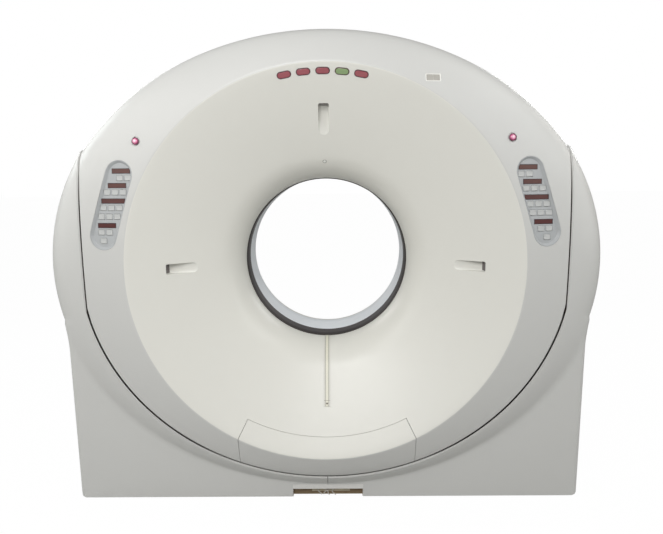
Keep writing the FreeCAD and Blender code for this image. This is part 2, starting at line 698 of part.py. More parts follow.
def make_stand_covers():
    """Left and right covers, each wrapping front, side and rear, meeting in the middle."""
    outer = stand_form(0).cut(stand_space(0))
    hollow = stand_form(COVER_WALL).cut(stand_space(LINING_WALL))
    shell = outer.cut(hollow)
    cutters = [rod(TRUNNION_COLLAR + 2, -STAND_SIDE - 2 * LINING_WALL, STAND_SIDE + 2 * LINING_WALL)]
    opening = PORT_HALF_WIDTH + RUNNING_GAP
    cutters.append(block(-opening, opening, -FAR, -BASE_HALF_DEPTH + PORT_DEPTH, -FAR,
                         PORT_HEIGHT + PORT_FRAME + RUNNING_GAP))
    shell = shell.cut(cutters)
    right = shell.common(block(COVER_JOINT / 2, FAR, -FAR, FAR, -FAR, FAR)).removeSplitter()
    left = shell.common(block(-FAR, -COVER_JOINT / 2, -FAR, FAR, -FAR, FAR)).removeSplitter()
    save("stand_cover_right", right)
    save("stand_cover_left", left)


# ---------------------------------------------------------------- stand frame and tilt drive
def make_base_frame():
    """Welded frame: floor plates, sills, two pillars with bearing housings, feet, port."""
    plate_low = FOOT_HEIGHT
    plate_top = FOOT_HEIGHT + PLATE_THICK
    frame = []
    for side in (-1, 1):
        x0, x1 = sorted((side * PLATE_INNER, side * PLATE_OUTER))
        plate = block(x0, x1, -PLATE_HALF_DEPTH, PLATE_HALF_DEPTH, plate_low, plate_top)
        for y in (-ANCHOR_Y, ANCHOR_Y):
            hole = Part.makeCylinder(ANCHOR_RADIUS, PLATE_THICK, V(side * ANCHOR_X, y, plate_low))
            plate = plate.cut(hole)
        p0, p1 = sorted((side * PILLAR_X, side * (PILLAR_X + PILLAR_THICK)))
        outline = [V(p0, -PILLAR_SPREAD, plate_top), V(p0, PILLAR_SPREAD, plate_top),
                   V(p0, HOUSING_RADIUS, BORE_HEIGHT), V(p0, -HOUSING_RADIUS, BORE_HEIGHT)]
        pillar = Part.Face(Part.Wire(lines(outline + outline[:1]))).extrude(V(PILLAR_THICK, 0, 0))
        inner = PILLAR_SPREAD - PILLAR_LEG
        bay_top = BORE_HEIGHT - HOUSING_RADIUS
        top_half = inner * PILLAR_BAY_TAPER
        bay = [V(p0, -inner, plate_top), V(p0, inner, plate_top),
               V(p0, top_half, bay_top), V(p0, -top_half, bay_top)]
        bay = Part.Face(Part.Wire(lines(bay + bay[:1]))).extrude(V(PILLAR_THICK, 0, 0))
        pillar = pillar.cut(bay).fuse(rod(HOUSING_RADIUS, p0, p1)).cut(rod(TILT_BEARING_OUTER, p0, p1))
        frame += [plate, pillar]
    sill_y = UNDER_HALF_DEPTH + 2 * LINING_WALL
    for side in (-1, 1):
        y0, y1 = sorted((side * sill_y, side * (sill_y + SILL_THICK)))
        sill = block(-PLATE_OUTER, PLATE_OUTER, y0, y1, plate_low, SILL_TOP)
        frame.append(sill)
        for x in (-PLATE_OUTER, PLATE_INNER):
            ya, yb = sorted((side * PLATE_HALF_DEPTH, side * sill_y))
            frame.append(block(x, x + PLATE_OUTER - PLATE_INNER, ya, yb, plate_low, plate_top))
    body = frame[0].fuse(frame[1:]).removeSplitter()
    save("base_frame", body)

    feet = []
    for x in (-FOOT_X, FOOT_X):
        for y in (-FOOT_Y, FOOT_Y):
            feet.append(Part.makeCylinder(FOOT_RADIUS, FOOT_HEIGHT, V(x, y, 0)))
    save("levelling_feet", *feet)
    for side, name in ((-1, "left"), (1, "right")):
        x0, x1 = sorted((side * PILLAR_X, side * (PILLAR_X + PILLAR_THICK)))
        outer = rod(TILT_BEARING_OUTER - BEARING_FIT, x0, x1)
        save("tilt_bearing_" + name, outer.cut(rod(TRUNNION_RADIUS + BEARING_FIT, x0, x1)))
    make_cable_port()


def make_cable_port():
    """A light frame round the cable outlet in the front sill, with a closed back pan."""
    front = -BASE_HALF_DEPTH
    outer = block(-PORT_HALF_WIDTH, PORT_HALF_WIDTH, front, front + PORT_DEPTH, BASE_CLEARANCE,
                  PORT_HEIGHT + PORT_FRAME)
    wall = TRAY_WALL
    inner = block(-PORT_HALF_WIDTH + wall, PORT_HALF_WIDTH - wall, front - 1, front + PORT_DEPTH - wall,
                  -FAR, PORT_HEIGHT)
    save("cable_port", outer.cut(inner))


# ---------------------------------------------------------------- tilt gears
def involute_tooth(pitch_radius, teeth, thinner):
    """Half-flank points of one tooth, as (radius, half angle), root to tip."""
    pressure = math.radians(20)
    base_radius = pitch_radius * math.cos(pressure)
    half_at_pitch = math.pi / (2 * teeth) - thinner / pitch_radius
    inv_pitch = math.tan(pressure) - pressure
    tip = pitch_radius + GEAR_MODULE
    root = pitch_radius - 1.25 * GEAR_MODULE
    points = []
    start = max(root, base_radius)
    steps = 3
    for k in range(steps + 1):
        radius = start + (tip - start) * k / steps
        angle = math.acos(min(1.0, base_radius / radius))
        points.append((radius, half_at_pitch + inv_pitch - (math.tan(angle) - angle)))
    if root < start:
        points.insert(0, (root, points[0][1]))
    return points


def gear_points(pitch_radius, teeth, first, count, thinner):
    """Outline points of `count` teeth in the y-z plane, first tooth centred on `first`."""
    flank = involute_tooth(pitch_radius, teeth, thinner)
    step = 2 * math.pi / teeth
    outline = []
    for k in range(count):
        middle = first + k * step
        outline += [(r, middle - a) for r, a in flank] + [(r, middle + a) for r, a in reversed(flank)]
    return [V(0, r * math.cos(a), r * math.sin(a)) for r, a in outline]


SECTOR_PITCH = GEAR_MODULE * SECTOR_TEETH / 2
PINION_PITCH = GEAR_MODULE * PINION_TEETH / 2
GEAR_CENTRES = SECTOR_PITCH + PINION_PITCH
GEAR_X = PILLAR_X + PILLAR_THICK + COVER_WALL


def make_tilt_drive():
    """Toothed sector on the left trunnion, its pinion, and the gearmotor on the frame."""
    half_teeth = int(math.ceil((TILT_LIMIT + SECTOR_SPARE) / 360 * SECTOR_TEETH))
    count = 2 * half_teeth + 1
    down = -math.pi / 2
    first = down - half_teeth * 2 * math.pi / SECTOR_TEETH
    teeth = gear_points(SECTOR_PITCH, SECTOR_TEETH, first, count, BACKLASH / 2)
    inner = SECTOR_PITCH - SECTOR_RIM
    end_a = math.atan2(teeth[0].z, teeth[0].y)
    end_b = math.atan2(teeth[-1].z, teeth[-1].y)
    arc_start = V(0, inner * math.cos(end_b), inner * math.sin(end_b))
    arc_end = V(0, inner * math.cos(end_a), inner * math.sin(end_a))
    arc = Part.Arc(arc_start, V(0, 0, -inner), arc_end).toShape()
    loop = lines(teeth + [arc_start]) + [arc] + lines([arc_end, teeth[0]])
    toothed = Part.Face(Part.Wire(loop)).extrude(V(GEAR_WIDTH, 0, 0))
    spokes = [toothed]
    for degrees in (-SPOKE_ANGLE, 0, SPOKE_ANGLE):
        spoke = block(0, GEAR_WIDTH, 0, inner + GEAR_MODULE, -PINION_SHAFT, PINION_SHAFT)
        spoke.rotate(V(0, 0, 0), V(1, 0, 0), degrees - 90)
        spokes.append(spoke)
    along = V(1, 0, 0)
    hub = Part.makeCylinder(TILT_BEARING_OUTER, GEAR_WIDTH, V(0, 0, 0), along)
    bore = Part.makeCylinder(TRUNNION_RADIUS + RUNNING_GAP, GEAR_WIDTH, V(0, 0, 0), along)
    sector = hub.fuse(spokes).cut(bore)
    sector.translate(V(-GEAR_X - GEAR_WIDTH, 0, BORE_HEIGHT))
    save("tilt_sector", sector.removeSplitter())

    pinion_first = math.pi / 2 + math.pi / PINION_TEETH
    outline = gear_points(PINION_PITCH, PINION_TEETH, pinion_first, PINION_TEETH, BACKLASH / 2)
    gear = Part.Face(Part.Wire(lines(outline + outline[:1]))).extrude(V(GEAR_WIDTH + 2, 0, 0))
    gear.translate(V(-GEAR_X - GEAR_WIDTH - 1, 0, BORE_HEIGHT - GEAR_CENTRES))
    shaft = rod(PINION_SHAFT, -GEAR_X - 1, -PILLAR_X - GEARBOX_SIZE[0] / 2, -GEAR_CENTRES)
    save("tilt_pinion", gear.fuse(shaft).removeSplitter())

    depth, width, height = GEARBOX_SIZE
    x0 = -PILLAR_X - depth
    z0 = BORE_HEIGHT - GEAR_CENTRES - height / 2
    box = block(x0, -PILLAR_X, -width / 2, width / 2, z0, z0 + height)
    flange = block(-PILLAR_X, -PILLAR_X + GEARBOX_FLANGE, -GEARBOX_REACH, GEARBOX_REACH,
                   z0 + height / 3, z0 + 2 * height / 3)
    motor_x = -PILLAR_X - PILLAR_THICK / 2
    motor = Part.makeCylinder(MOTOR_RADIUS, MOTOR_LENGTH, V(motor_x, 0, z0 - MOTOR_LENGTH))
    box = box.fuse(flange)
    bore = rod(PINION_SHAFT + BEARING_FIT, x0, -PILLAR_X + GEARBOX_FLANGE, -GEAR_CENTRES)
    save("tilt_gearmotor", box.fuse(motor).cut(bore).removeSplitter())


# ---------------------------------------------------------------- inside the drum
def make_tilt_frame():
    """Cast ring plate behind the rotor, with side cheeks and the two trunnions."""
    back = RING_PLATE_Y + RING_PLATE_THICK
    hub_outer = ROTOR_INNER + ROTOR_HUB_WALL
    plate = ring(RING_PLATE_OUTER, hub_outer + RING_PLATE_GAP, RING_PLATE_Y, back)
    pieces = [plate]
    side = DRUM_INSIDE
    for s, end in ((-1, GEAR_X + GEAR_WIDTH), (1, PILLAR_X + PILLAR_THICK)):
        x0, x1 = sorted((s * CHEEK_INNER, s * side))
        low, high = BORE_HEIGHT - CHEEK_HALF_HEIGHT, BORE_HEIGHT + CHEEK_HALF_HEIGHT
        pieces.append(block(x0, x1, CHEEK_FRONT, back, low, high))
        pieces.append(rod(TRUNNION_COLLAR, *sorted((s * side, s * (PILLAR_X - 2)))))
        pieces.append(rod(TRUNNION_RADIUS, *sorted((s * side, s * (end + TRUNNION_SPARE)))))
    save("tilt_frame", plate.fuse(pieces[1:]).removeSplitter())


def make_rotor():
    """The rotating ring with its X-ray tube, detector arc, generator and slip ring."""
    disc_back = -ROTOR_DISC / 2
    disc_front = disc_back - ROTOR_DISC
    disc = ring(ROTOR_OUTER, ROTOR_INNER, disc_front, disc_back)
    rim = ring(ROTOR_OUTER, ROTOR_OUTER - ROTOR_RIM_WALL, disc_back, disc_back + ROTOR_RIM_DEPTH)
    hub_outer = ROTOR_INNER + ROTOR_HUB_WALL
    hub = ring(hub_outer, ROTOR_INNER, disc_back, RING_PLATE_Y)
    save("rotor_drum", disc.fuse([rim, hub]).removeSplitter())
    race = ring(hub_outer + RUNNING_GAP + BEARING_WALL, hub_outer + RUNNING_GAP,
                RING_PLATE_Y - BEARING_WIDTH, RING_PLATE_Y)
    save("main_bearing_outer", race)
    stator_inner = ROTOR_OUTER + STATOR_GAP
    stator = ring(stator_inner + STATOR_WALL, stator_inner, RING_PLATE_Y - STATOR_DEPTH, RING_PLATE_Y)
    save("drive_stator", stator)
    slip = ring(hub_outer, hub_outer - SLIP_RING_WALL, RING_PLATE_Y, RING_PLATE_Y + SLIP_RING_WIDTH)
    save("slip_ring", slip)

    focus = BORE_HEIGHT + SOURCE_RADIUS
    tube_end = V(0, disc_front, BORE_HEIGHT + TUBE_CENTRE)
    tube = Part.makeCylinder(TUBE_RADIUS, TUBE_LENGTH, tube_end, V(0, -1, 0))
    ends = [e for e in tube.Edges if e.Closed and e.CenterOfMass.y < disc_front - 1]
    tube = tube.makeFillet(TUBE_RADIUS / 4, ends)
    save("xray_tube", tube)

    outer = DETECTOR_INNER + DETECTOR_THICK
    source, forward = V(0, disc_front, focus), V(0, -1, 0)
    arc_ring = Part.makeCylinder(outer, DETECTOR_DEPTH, source, forward)
    arc_ring = arc_ring.cut(Part.makeCylinder(DETECTOR_INNER, DETECTOR_DEPTH, source, forward))
    spread = FAR * math.tan(math.radians(FAN_HALF_ANGLE))
    fan = [source, V(-spread, disc_front, focus - FAR), V(spread, disc_front, focus - FAR)]
    fan = Part.Face(Part.Wire(lines(fan + fan[:1]))).extrude(V(0, -DETECTOR_DEPTH, 0))
    save("detector", arc_ring.common(fan))

    radial, depth, tangential = GENERATOR_SIZE
    tank = block(-GENERATOR_INNER - radial, -GENERATOR_INNER, disc_front - depth, disc_front,
                 BORE_HEIGHT - tangential / 2, BORE_HEIGHT + tangential / 2)
    edges = [e for e in tank.Edges if abs(e.tangentAt(0).y) > 0.9]
    save("hv_generator", tank.makeFillet(GENERATOR_CORNER, edges))


os.makedirs("parts", exist_ok=True)
make_drum_covers()
make_front_trim()
make_panels()
make_stand_covers()
make_base_frame()
make_tilt_drive()
make_tilt_frame()
make_rotor()
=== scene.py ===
import bpy, bmesh, math
import numpy as np
from mathutils import Matrix, Vector
from mathutils.bvhtree import BVHTree


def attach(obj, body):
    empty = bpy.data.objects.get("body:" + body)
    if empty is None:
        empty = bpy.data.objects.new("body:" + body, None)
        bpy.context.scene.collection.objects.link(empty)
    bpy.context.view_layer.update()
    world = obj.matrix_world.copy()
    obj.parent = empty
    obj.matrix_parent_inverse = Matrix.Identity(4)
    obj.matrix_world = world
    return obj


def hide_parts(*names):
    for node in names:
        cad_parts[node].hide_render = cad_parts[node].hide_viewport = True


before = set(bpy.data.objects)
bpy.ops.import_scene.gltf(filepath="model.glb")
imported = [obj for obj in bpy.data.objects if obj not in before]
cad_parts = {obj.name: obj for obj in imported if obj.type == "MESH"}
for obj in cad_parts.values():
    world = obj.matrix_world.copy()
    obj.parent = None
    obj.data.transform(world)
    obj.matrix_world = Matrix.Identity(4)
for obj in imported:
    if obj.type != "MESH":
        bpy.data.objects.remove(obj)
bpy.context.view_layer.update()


# ================================================================ drum covers
# Two mouldings of glass-fibre plastic close the tilting drum, front and rear. Each has the flared
# patient opening, a crease at the rim, and an outer band that rounds into the drum's sides. The
# flare is sprayed warm white and the band cool grey, in satin paint with a faint orange peel.
AXIS = 1.015                 # height of the patient opening's axis
HALF_WIDTH, HALF_HEIGHT, HALF_DEPTH = 1.135, 0.935, 0.480
RIM = 0.795
LIP_RADIUS, LIP_DEPTH, FLARE_RADIUS = 0.360, 0.135, 0.185
BAND_POLES = ((0.0, 0.0), (0.50, 0.028), (0.93, 0.052), (1.0, 0.075), (1.0, 0.170))
FLAT_SIDE = 0.967
BELLY_LENGTH, BELLY_RADIUS = 1.098, 0.993
WALL = 0.008
ROUND_STEPS, FLARE_ROWS, CONE_ROWS, BAND_ROWS, SIDE_ROWS = 480, 22, 12, 26, 18
JOINT_HALF, SEAM_EDGE, RIM_EDGE = 0.001, 0.004, 0.006    # half the covers' joint, rounded edges
SAME_SKIN, SKIN_TURN = 2e-4, 16    # a cut face this near, and this parallel, to the skin is skin
FRONT_TO_REAR = np.array([1, -1, 1])

arc_x = LIP_RADIUS + FLARE_RADIUS
to_rim = math.hypot(RIM - arc_x, HALF_DEPTH - LIP_DEPTH)
cone_angle = math.atan2(HALF_DEPTH - LIP_DEPTH, RIM - arc_x) - math.asin(FLARE_RADIUS / to_rim)


def band_at(t):
    """Share outward and drop of the band's section curve at t, from the rim to the side."""
    n = len(BAND_POLES) - 1
    t = np.asarray(t, float)
    weights = [math.comb(n, k) * t ** k * (1 - t) ** (n - k) for k in range(n + 1)]
    share = sum(w * p[0] for w, p in zip(weights, BAND_POLES))
    drop = sum(w * p[1] for w, p in zip(weights, BAND_POLES))
    return share, drop


band_table = band_at(np.linspace(0, 1, 400))


def share_at(y, inset):
    """Share outward of the pebble's wall at a depth y."""
    drop = np.clip(HALF_DEPTH - inset - np.abs(y), 0, BAND_POLES[-1][1])
    return np.interp(drop, band_table[1], band_table[0])


def pebble_radius(angle, share, half_height, inset):
    """Distance from the axis to the pebble's wall, at a bearing and a share outward."""
    wide = RIM + (HALF_WIDTH - inset - RIM) * share
    tall = RIM + (half_height - inset - RIM) * share
    return wide * tall / np.hypot(tall * np.cos(angle), wide * np.sin(angle))


def swept_radius(angle, y, grow):
    """Distance from the axis to the space that the drum sweeps: flat sides and the round belly."""
    flat = (FLAT_SIDE + grow) / np.maximum(np.abs(np.cos(angle)), 1e-6)
    length, radius = BELLY_LENGTH + grow, BELLY_RADIUS + grow
    round_part = (np.cos(angle) / length) ** 2 + (np.sin(angle) / radius) ** 2
    belly = np.sqrt((1 - np.minimum(np.abs(y), 0.9) ** 2 / radius ** 2) / round_part)
    return np.where(np.sin(angle) < 0, np.minimum(flat, belly), flat)


def crossing(inside, low, high):
    """The value between low and high where `inside` turns false, for whole arrays at once."""
    low, high = np.array(low, float), np.array(high, float)
    for _ in range(40):
        middle = (low + high) / 2
        good = inside(middle)
        low, high = np.where(good, middle, low), np.where(good, high, middle)
    return low


def rounded(points, row, radius, steps=4):
    """Replaces one row of a grid by a small round edge."""
    before, edge, after = points[:, row - 1], points[:, row], points[:, row + 1]

    def towards(end):
        span = np.linalg.norm(end - edge, axis=1, keepdims=True)
        return edge + (end - edge) * np.minimum(radius / np.maximum(span, 1e-9), 0.9)

    first, last = towards(before), towards(after)
    curve = [first * (1 - s) ** 2 + edge * 2 * s * (1 - s) + last * s * s
             for s in np.linspace(0, 1, steps)]
    return np.concatenate([points[:, :row], np.stack(curve, 1), points[:, row + 1:]], 1)


def in_place(angle, radius, y):
    """Points from bearing, distance to the axis, and depth."""
    angle, radius, y = np.broadcast_arrays(angle, radius, y)
    return np.stack([radius * np.cos(angle), y, AXIS + radius * np.sin(angle)], -1)


def drum_skin(angle, inset):
    """The front cover's skin as a grid of bearings by rows: lip, flare, rim, band, side."""
    turn = np.linspace(0, math.pi / 2 - cone_angle, FLARE_ROWS)
    radius = FLARE_RADIUS - inset
    section = [(arc_x - radius * math.cos(a), -LIP_DEPTH - radius * math.sin(a)) for a in turn]
    end_r, end_y = section[-1]
    front = inset - HALF_DEPTH
    rim_r = end_r + (end_y - front) / math.tan(cone_angle)
    for k in np.linspace(0, 1, CONE_ROWS)[1:-1]:
        section.append((end_r + (rim_r - end_r) * k, end_y + (front - end_y) * k))
    bearing = angle[:, None]
    flare = in_place(bearing, np.array([p[0] for p in section]), np.array([p[1] for p in section]))

    def on_band(t):
        share, drop = band_at(t)
        spread = rim_r - RIM
        wall = pebble_radius(bearing, share, HALF_HEIGHT, inset)
        return wall + spread * (1 - share), front + drop

    def free(t):
        r, y = on_band(t)
        return r < swept_radius(bearing, y, -inset)

    seam = crossing(free, np.zeros_like(bearing), np.ones_like(bearing))
    r, y = on_band(seam * np.linspace(0, 1, BAND_ROWS))
    band = in_place(bearing, r, y)
    seam_y = y[:, -1:]
    side_y = seam_y + (-JOINT_HALF - seam_y) * np.linspace(0, 1, SIDE_ROWS)[1:]
    side_r = np.minimum(swept_radius(bearing, side_y, -inset),
                        pebble_radius(bearing, share_at(side_y, inset), HALF_HEIGHT, inset))
    side = in_place(bearing, side_r, side_y)
    grid = np.concatenate([flare, band, side], 1)
    grid = rounded(grid, flare.shape[1] + band.shape[1] - 1, SEAM_EDGE)
    return rounded(grid, flare.shape[1], RIM_EDGE)


def solid_from_grid(name, points, caps=False):
    """A closed mesh from a grid whose rows join up; its first way joins up too, or gets caps."""
    across, along = points.shape[:2]
    mesh = bpy.data.meshes.new(name)
    index = np.arange(across * along).reshape(across, along)
    one, two = (index[:-1], index[1:]) if caps else (index, np.roll(index, -1, 0))
    next_one, next_two = np.roll(one, -1, 1), np.roll(two, -1, 1)
    quads = np.stack([one, two, next_two, next_one], -1).reshape(-1, 4).tolist()
    if caps:
        quads += [index[0].tolist(), index[-1][::-1].tolist()]
    mesh.from_pydata(points.reshape(-1, 3).tolist(), [], quads)
    return tidied(name, mesh)


def tidied(name, mesh):
    """An object with doubled points merged and every face pointing outwards."""
    work = bmesh.new()
    work.from_mesh(mesh)
    bmesh.ops.remove_doubles(work, verts=work.verts, dist=2e-6)
    bmesh.ops.dissolve_degenerate(work, edges=work.edges, dist=1e-7)
    bmesh.ops.recalc_face_normals(work, faces=work.faces)
    if work.calc_volume(signed=True) < 0:
        bmesh.ops.reverse_faces(work, faces=work.faces)
    work.to_mesh(mesh)
    work.free()
    piece = bpy.data.objects.new(name, mesh)
    bpy.context.scene.collection.objects.link(piece)
    return piece


def smooth(piece, degrees=30):
    """Smooth shading with sharp edges only where the faces really turn."""
    piece.data.polygons.foreach_set("use_smooth", np.ones(len(piece.data.polygons), bool))
    piece.data.set_sharp_from_angle(angle=math.radians(degrees))
    return piece


def cut(piece, tool, operation="DIFFERENCE"):
    """Cuts, joins or intersects a closed piece with another closed one, as a plain mesh."""
    change = piece.modifiers.new("cut", "BOOLEAN")
    change.operation, change.object, change.solver = operation, tool, "MANIFOLD"
    held = piece.evaluated_get(bpy.context.evaluated_depsgraph_get())
    mesh = bpy.data.meshes.new_from_object(held)
    piece.modifiers.remove(change)
    piece.data = mesh
    return piece


def removed(*pieces):
    """Takes finished tools out of the scene."""
    for piece in pieces:
        bpy.data.objects.remove(piece)


def keep_shading(piece, source):
    """Gives a cut piece the smooth shading that its skin had before the cuts."""
    smooth(piece)
    smooth(source)
    before, mesh = source.data, piece.data
    tree = BVHTree.FromPolygons([v.co for v in before.vertices],
                                [face.vertices for face in before.polygons])
    skin = np.zeros(len(before.loops) * 3, np.float32)
    before.corner_normals.foreach_get("vector", skin)
    skin = skin.reshape(-1, 3)
    found = np.zeros((len(mesh.vertices), 3), np.float32)
    for vertex in mesh.vertices:
        place, _, number, gap = tree.find_nearest(vertex.co)
        if gap > SAME_SKIN:
            continue
        near = before.polygons[number]
        total = np.zeros(3)
        for corner in near.loop_indices:
            span = (before.vertices[before.loops[corner].vertex_index].co - place).length
            total += skin[corner] / (span * span + 1e-10)
        found[vertex.index] = total / np.linalg.norm(total)
    normals = np.zeros(len(mesh.loops) * 3, np.float32)
    mesh.corner_normals.foreach_get("vector", normals)
    normals = normals.reshape(-1, 3)
    corner_vertex = np.zeros(len(mesh.loops), np.int32)
    mesh.loops.foreach_get("vertex_index", corner_vertex)
    face_normals = np.zeros(len(mesh.polygons) * 3, np.float32)
    mesh.polygons.foreach_get("normal", face_normals)
    sides = np.zeros(len(mesh.polygons), np.int32)
    mesh.polygons.foreach_get("loop_total", sides)
    flat = np.repeat(face_normals.reshape(-1, 3), sides, 0)
    skin_normal = found[corner_vertex]
    on_skin = (flat * skin_normal).sum(1) > math.cos(math.radians(SKIN_TURN))
    normals[on_skin] = skin_normal[on_skin]
    mesh.normals_split_custom_set(normals.tolist())
    return piece


class Link:
    """An output socket of a material; arithmetic on it adds Math nodes."""
    def __init__(self, finish, socket):
        self.finish, self.socket = finish, socket

    def sum(self, operation, one, two=0.0):
        return self.finish.node("ShaderNodeMath", {"operation": operation}, {0: one, 1: two})

    def __add__(self, other): return self.sum("ADD", self, other)
    def __radd__(self, other): return self.sum("ADD", other, self)
    def __sub__(self, other): return self.sum("SUBTRACT", self, other)
    def __rsub__(self, other): return self.sum("SUBTRACT", other, self)
    def __mul__(self, other): return self.sum("MULTIPLY", self, other)
    def __pow__(self, other): return self.sum("POWER", self, other)
    def __gt__(self, other): return self.sum("GREATER_THAN", self, other)
    def __lt__(self, other): return self.sum("LESS_THAN", self, other)
    def __abs__(self): return self.sum("ABSOLUTE", self)


def colour(seen):
    """A screen colour of three parts, 0 to 255, as the shader wants it; others pass as they are."""
    if isinstance(seen, Link) or len(seen) == 4:
        return seen
    parts = [c / 255 for c in seen]
    return tuple(c / 12.92 if c < 0.04045 else ((c + 0.055) / 1.055) ** 2.4 for c in parts) + (1.0,)


class Finish:
    """A material written as expressions: screen colours, patterns on object coordinates."""
    def __init__(self, name):
        self.material = bpy.data.materials.new(name)
        self.material.use_nodes = True
        self.tree = self.material.node_tree
        self.tree.nodes.clear()
        self.point = self.node("ShaderNodeTexCoord", {}, {}, "Object")

    def node(self, kind, settings, sockets, output=0):
        made = self.tree.nodes.new(kind)
        for name, value in settings.items():
            setattr(made, name, value)
        for name, value in sockets.items():
            if isinstance(value, Link):
                self.tree.links.new(value.socket, made.inputs[name])
            else:
                made.inputs[name].default_value = value
        return Link(self, made.outputs[output])

    def axis(self, letter, vector=None):
        return self.node("ShaderNodeSeparateXYZ", {}, {0: vector or self.point}, letter)

    def vector(self, operation, one, two=(0, 0, 0), output="Vector"):
        return self.node("ShaderNodeVectorMath", {"operation": operation}, {0: one, 1: two}, output)

    def ramp(self, value, start, end):
        """Rises from 0 to 1 while the value goes from start to end."""
        return self.node("ShaderNodeMapRange", {},
                         {"Value": value, "From Min": start, "From Max": end})

    def noise(self, scale, detail=2.0):
        return self.node("ShaderNodeTexNoise", {},
                         {"Vector": self.point, "Scale": scale, "Detail": detail})

    def mix(self, factor, one, two, blend="MIX"):
        return self.node("ShaderNodeMix", {"data_type": "RGBA", "blend_type": blend},
                         {0: factor, 6: colour(one), 7: colour(two)}, 2)

    def bump(self, height, distance, strength):
        return self.node("ShaderNodeBump", {},
                         {"Height": height, "Distance": distance, "Strength": strength})

    def done(self, **sockets):
        names = {key.replace("_", " "): value for key, value in sockets.items()}
        return self.ended(self.node("ShaderNodeBsdfPrincipled", {}, names, "BSDF"))

    def ended(self, shader):
        output = self.tree.nodes.new("ShaderNodeOutputMaterial")
        self.tree.links.new(shader.socket, output.inputs["Surface"])
        return self.material


def satin_paint(name, inside, outside):
    """Satin spray paint on moulded plastic: one colour inside the rim and one outside."""
    paint = Finish(name)
    flat = paint.vector("MULTIPLY", paint.vector("SUBTRACT", paint.point, (0, 0, AXIS)), (1, 0, 1))
    coat = paint.mix(paint.vector("LENGTH", flat, output="Value") > RIM - 0.0005, inside, outside)
    cloud = paint.noise(3.1, 3.0) * 0.6 + paint.noise(23.0) * 0.4
    peel = paint.noise(420.0) * 0.7 + paint.noise(60.0, 1.0) * 0.3
    coat = paint.mix((cloud - 0.35) * 0.10, coat, (0.72, 0.70, 0.66, 1), "MULTIPLY")
    return paint.done(Base_Color=coat, Roughness=0.36 + cloud * 0.10, Coat_Weight=0.12,
                      Coat_Roughness=0.22, Normal=paint.bump(peel, 0.00025, 0.25))


warm_white, cool_grey = (219, 218, 211), (200, 200, 197)
drum_paint = satin_paint("drum_satin_paint", warm_white, cool_grey)

bearings = np.arange(ROUND_STEPS) / ROUND_STEPS * 2 * math.pi + math.pi / ROUND_STEPS
outer_skin, inner_skin = drum_skin(bearings, 0.0), drum_skin(bearings, WALL)
shell = np.concatenate([outer_skin, inner_skin[:, ::-1]], 1)
front_cover = solid_from_grid("front_cover_moulding", shell)
rear_cover = solid_from_grid("rear_cover_moulding", shell * FRONT_TO_REAR)

# ---------------------------------------------------------------- openings in the front cover
# Pockets moulded into the front cover: three laser scoops, seats for five lamps, the status window
# and the centre strip, wells for the control panels and emergency stops, and the microphone's hole.
# Bosses behind the deeper ones keep the wall closed.
SCOOP_INNER, SCOOP_OUTER, SCOOP_HALF, SCOOP_DEPTH, SCOOP_LEVEL = 0.534, 0.651, 0.021, 0.030, 0.030
SCOOP_CORNER = 0.007
LAMP_RADIUS, LAMP_STEP, LAMP_SIZE, LAMP_SEAT = 0.763, 5.5, (0.055, 0.028), 0.004
MIC_RADIUS, MIC_HOLE, MIC_CUT = 0.429, 0.009, 0.02
STATUS_PLACE, STATUS_SIZE, STATUS_CORNER, STATUS_SEAT = (0.415, 0.734), (0.060, 0.031), 0.004, 0.004
STOP_PLACE, STOP_RADIUS, STOP_ROOM, STOP_SINK, STOP_CUT = (0.721, 0.511), 0.014, 0.004, 0.004, 0.01
STRIP_HALF, STRIP_END, STRIP_THICK, STRIP_PROUD, STRIP_CUT = 0.013, 0.604, 0.003, 0.0008, 0.01
PANEL_PLACE, TRAY_HALF, TRAY_LONG, TRAY_DEPTH = (0.834, 0.266), 0.057, 0.362, 0.012
WELL_ROOM, WELL_CUT = 0.0008, (-0.03, 0.02)
TRUNNION_HOLE, TRUNNION_CUT = 0.088, 0.03    # a half round gap on each side, for the trunnion
SCOOP_BOSS, LAMP_BOSS, STOP_BOSS = (0.058, 0.004), (0.063, 0.036, 0.018), 0.022
SCOOP_BACK, LAMP_BACK, STOP_BACK = -0.038, -0.012, -0.028    # how deep the bosses reach
BOSS_SPARE, BURIED = 0.016, -0.0025          # a boss's face lies inside the wall
ABOVE, FIT = 0.008, 0.0006                   # how far cutters stand out; room round a piece
HAIR = 0.0001                                # the least gap between two pieces
FULL_ROUND = 0.1                             # a corner cut down to half the piece's width


def seat(point, outward, up):
    """A frame on a surface: z out of it, y along `up`, x across."""
    z = Vector(outward).normalized()
    y = (Vector(up) - z * Vector(up).dot(z)).normalized()
    frame_at = Matrix((y.cross(z), y, z)).transposed().to_4x4()
    frame_at.translation = point
    return frame_at


def cone_seat(radius, degrees):
    """A frame on the flare's cone: y runs outward along the slope."""
    a = math.radians(degrees)
    out = Vector((math.cos(a), 0, math.sin(a)))
    y = -HALF_DEPTH + (RIM - radius) * math.tan(cone_angle)
    point = out * radius + Vector((0, y, AXIS))
    return seat(point, out * -math.sin(cone_angle) + Vector((0, -math.cos(cone_angle), 0)), out)


def band_depth(x, z):
    """Depth of the outer band's surface at x, and z above the axis, for whole arrays."""
    x = np.asarray(x, float)

    def beyond(t):
        share, _ = band_at(t)
        wide, tall = RIM + (HALF_WIDTH - RIM) * share, RIM + (HALF_HEIGHT - RIM) * share
        return (x / wide) ** 2 + (z / tall) ** 2 > 1

    return band_at(crossing(beyond, np.zeros_like(x), np.ones_like(x)))[1] - HALF_DEPTH


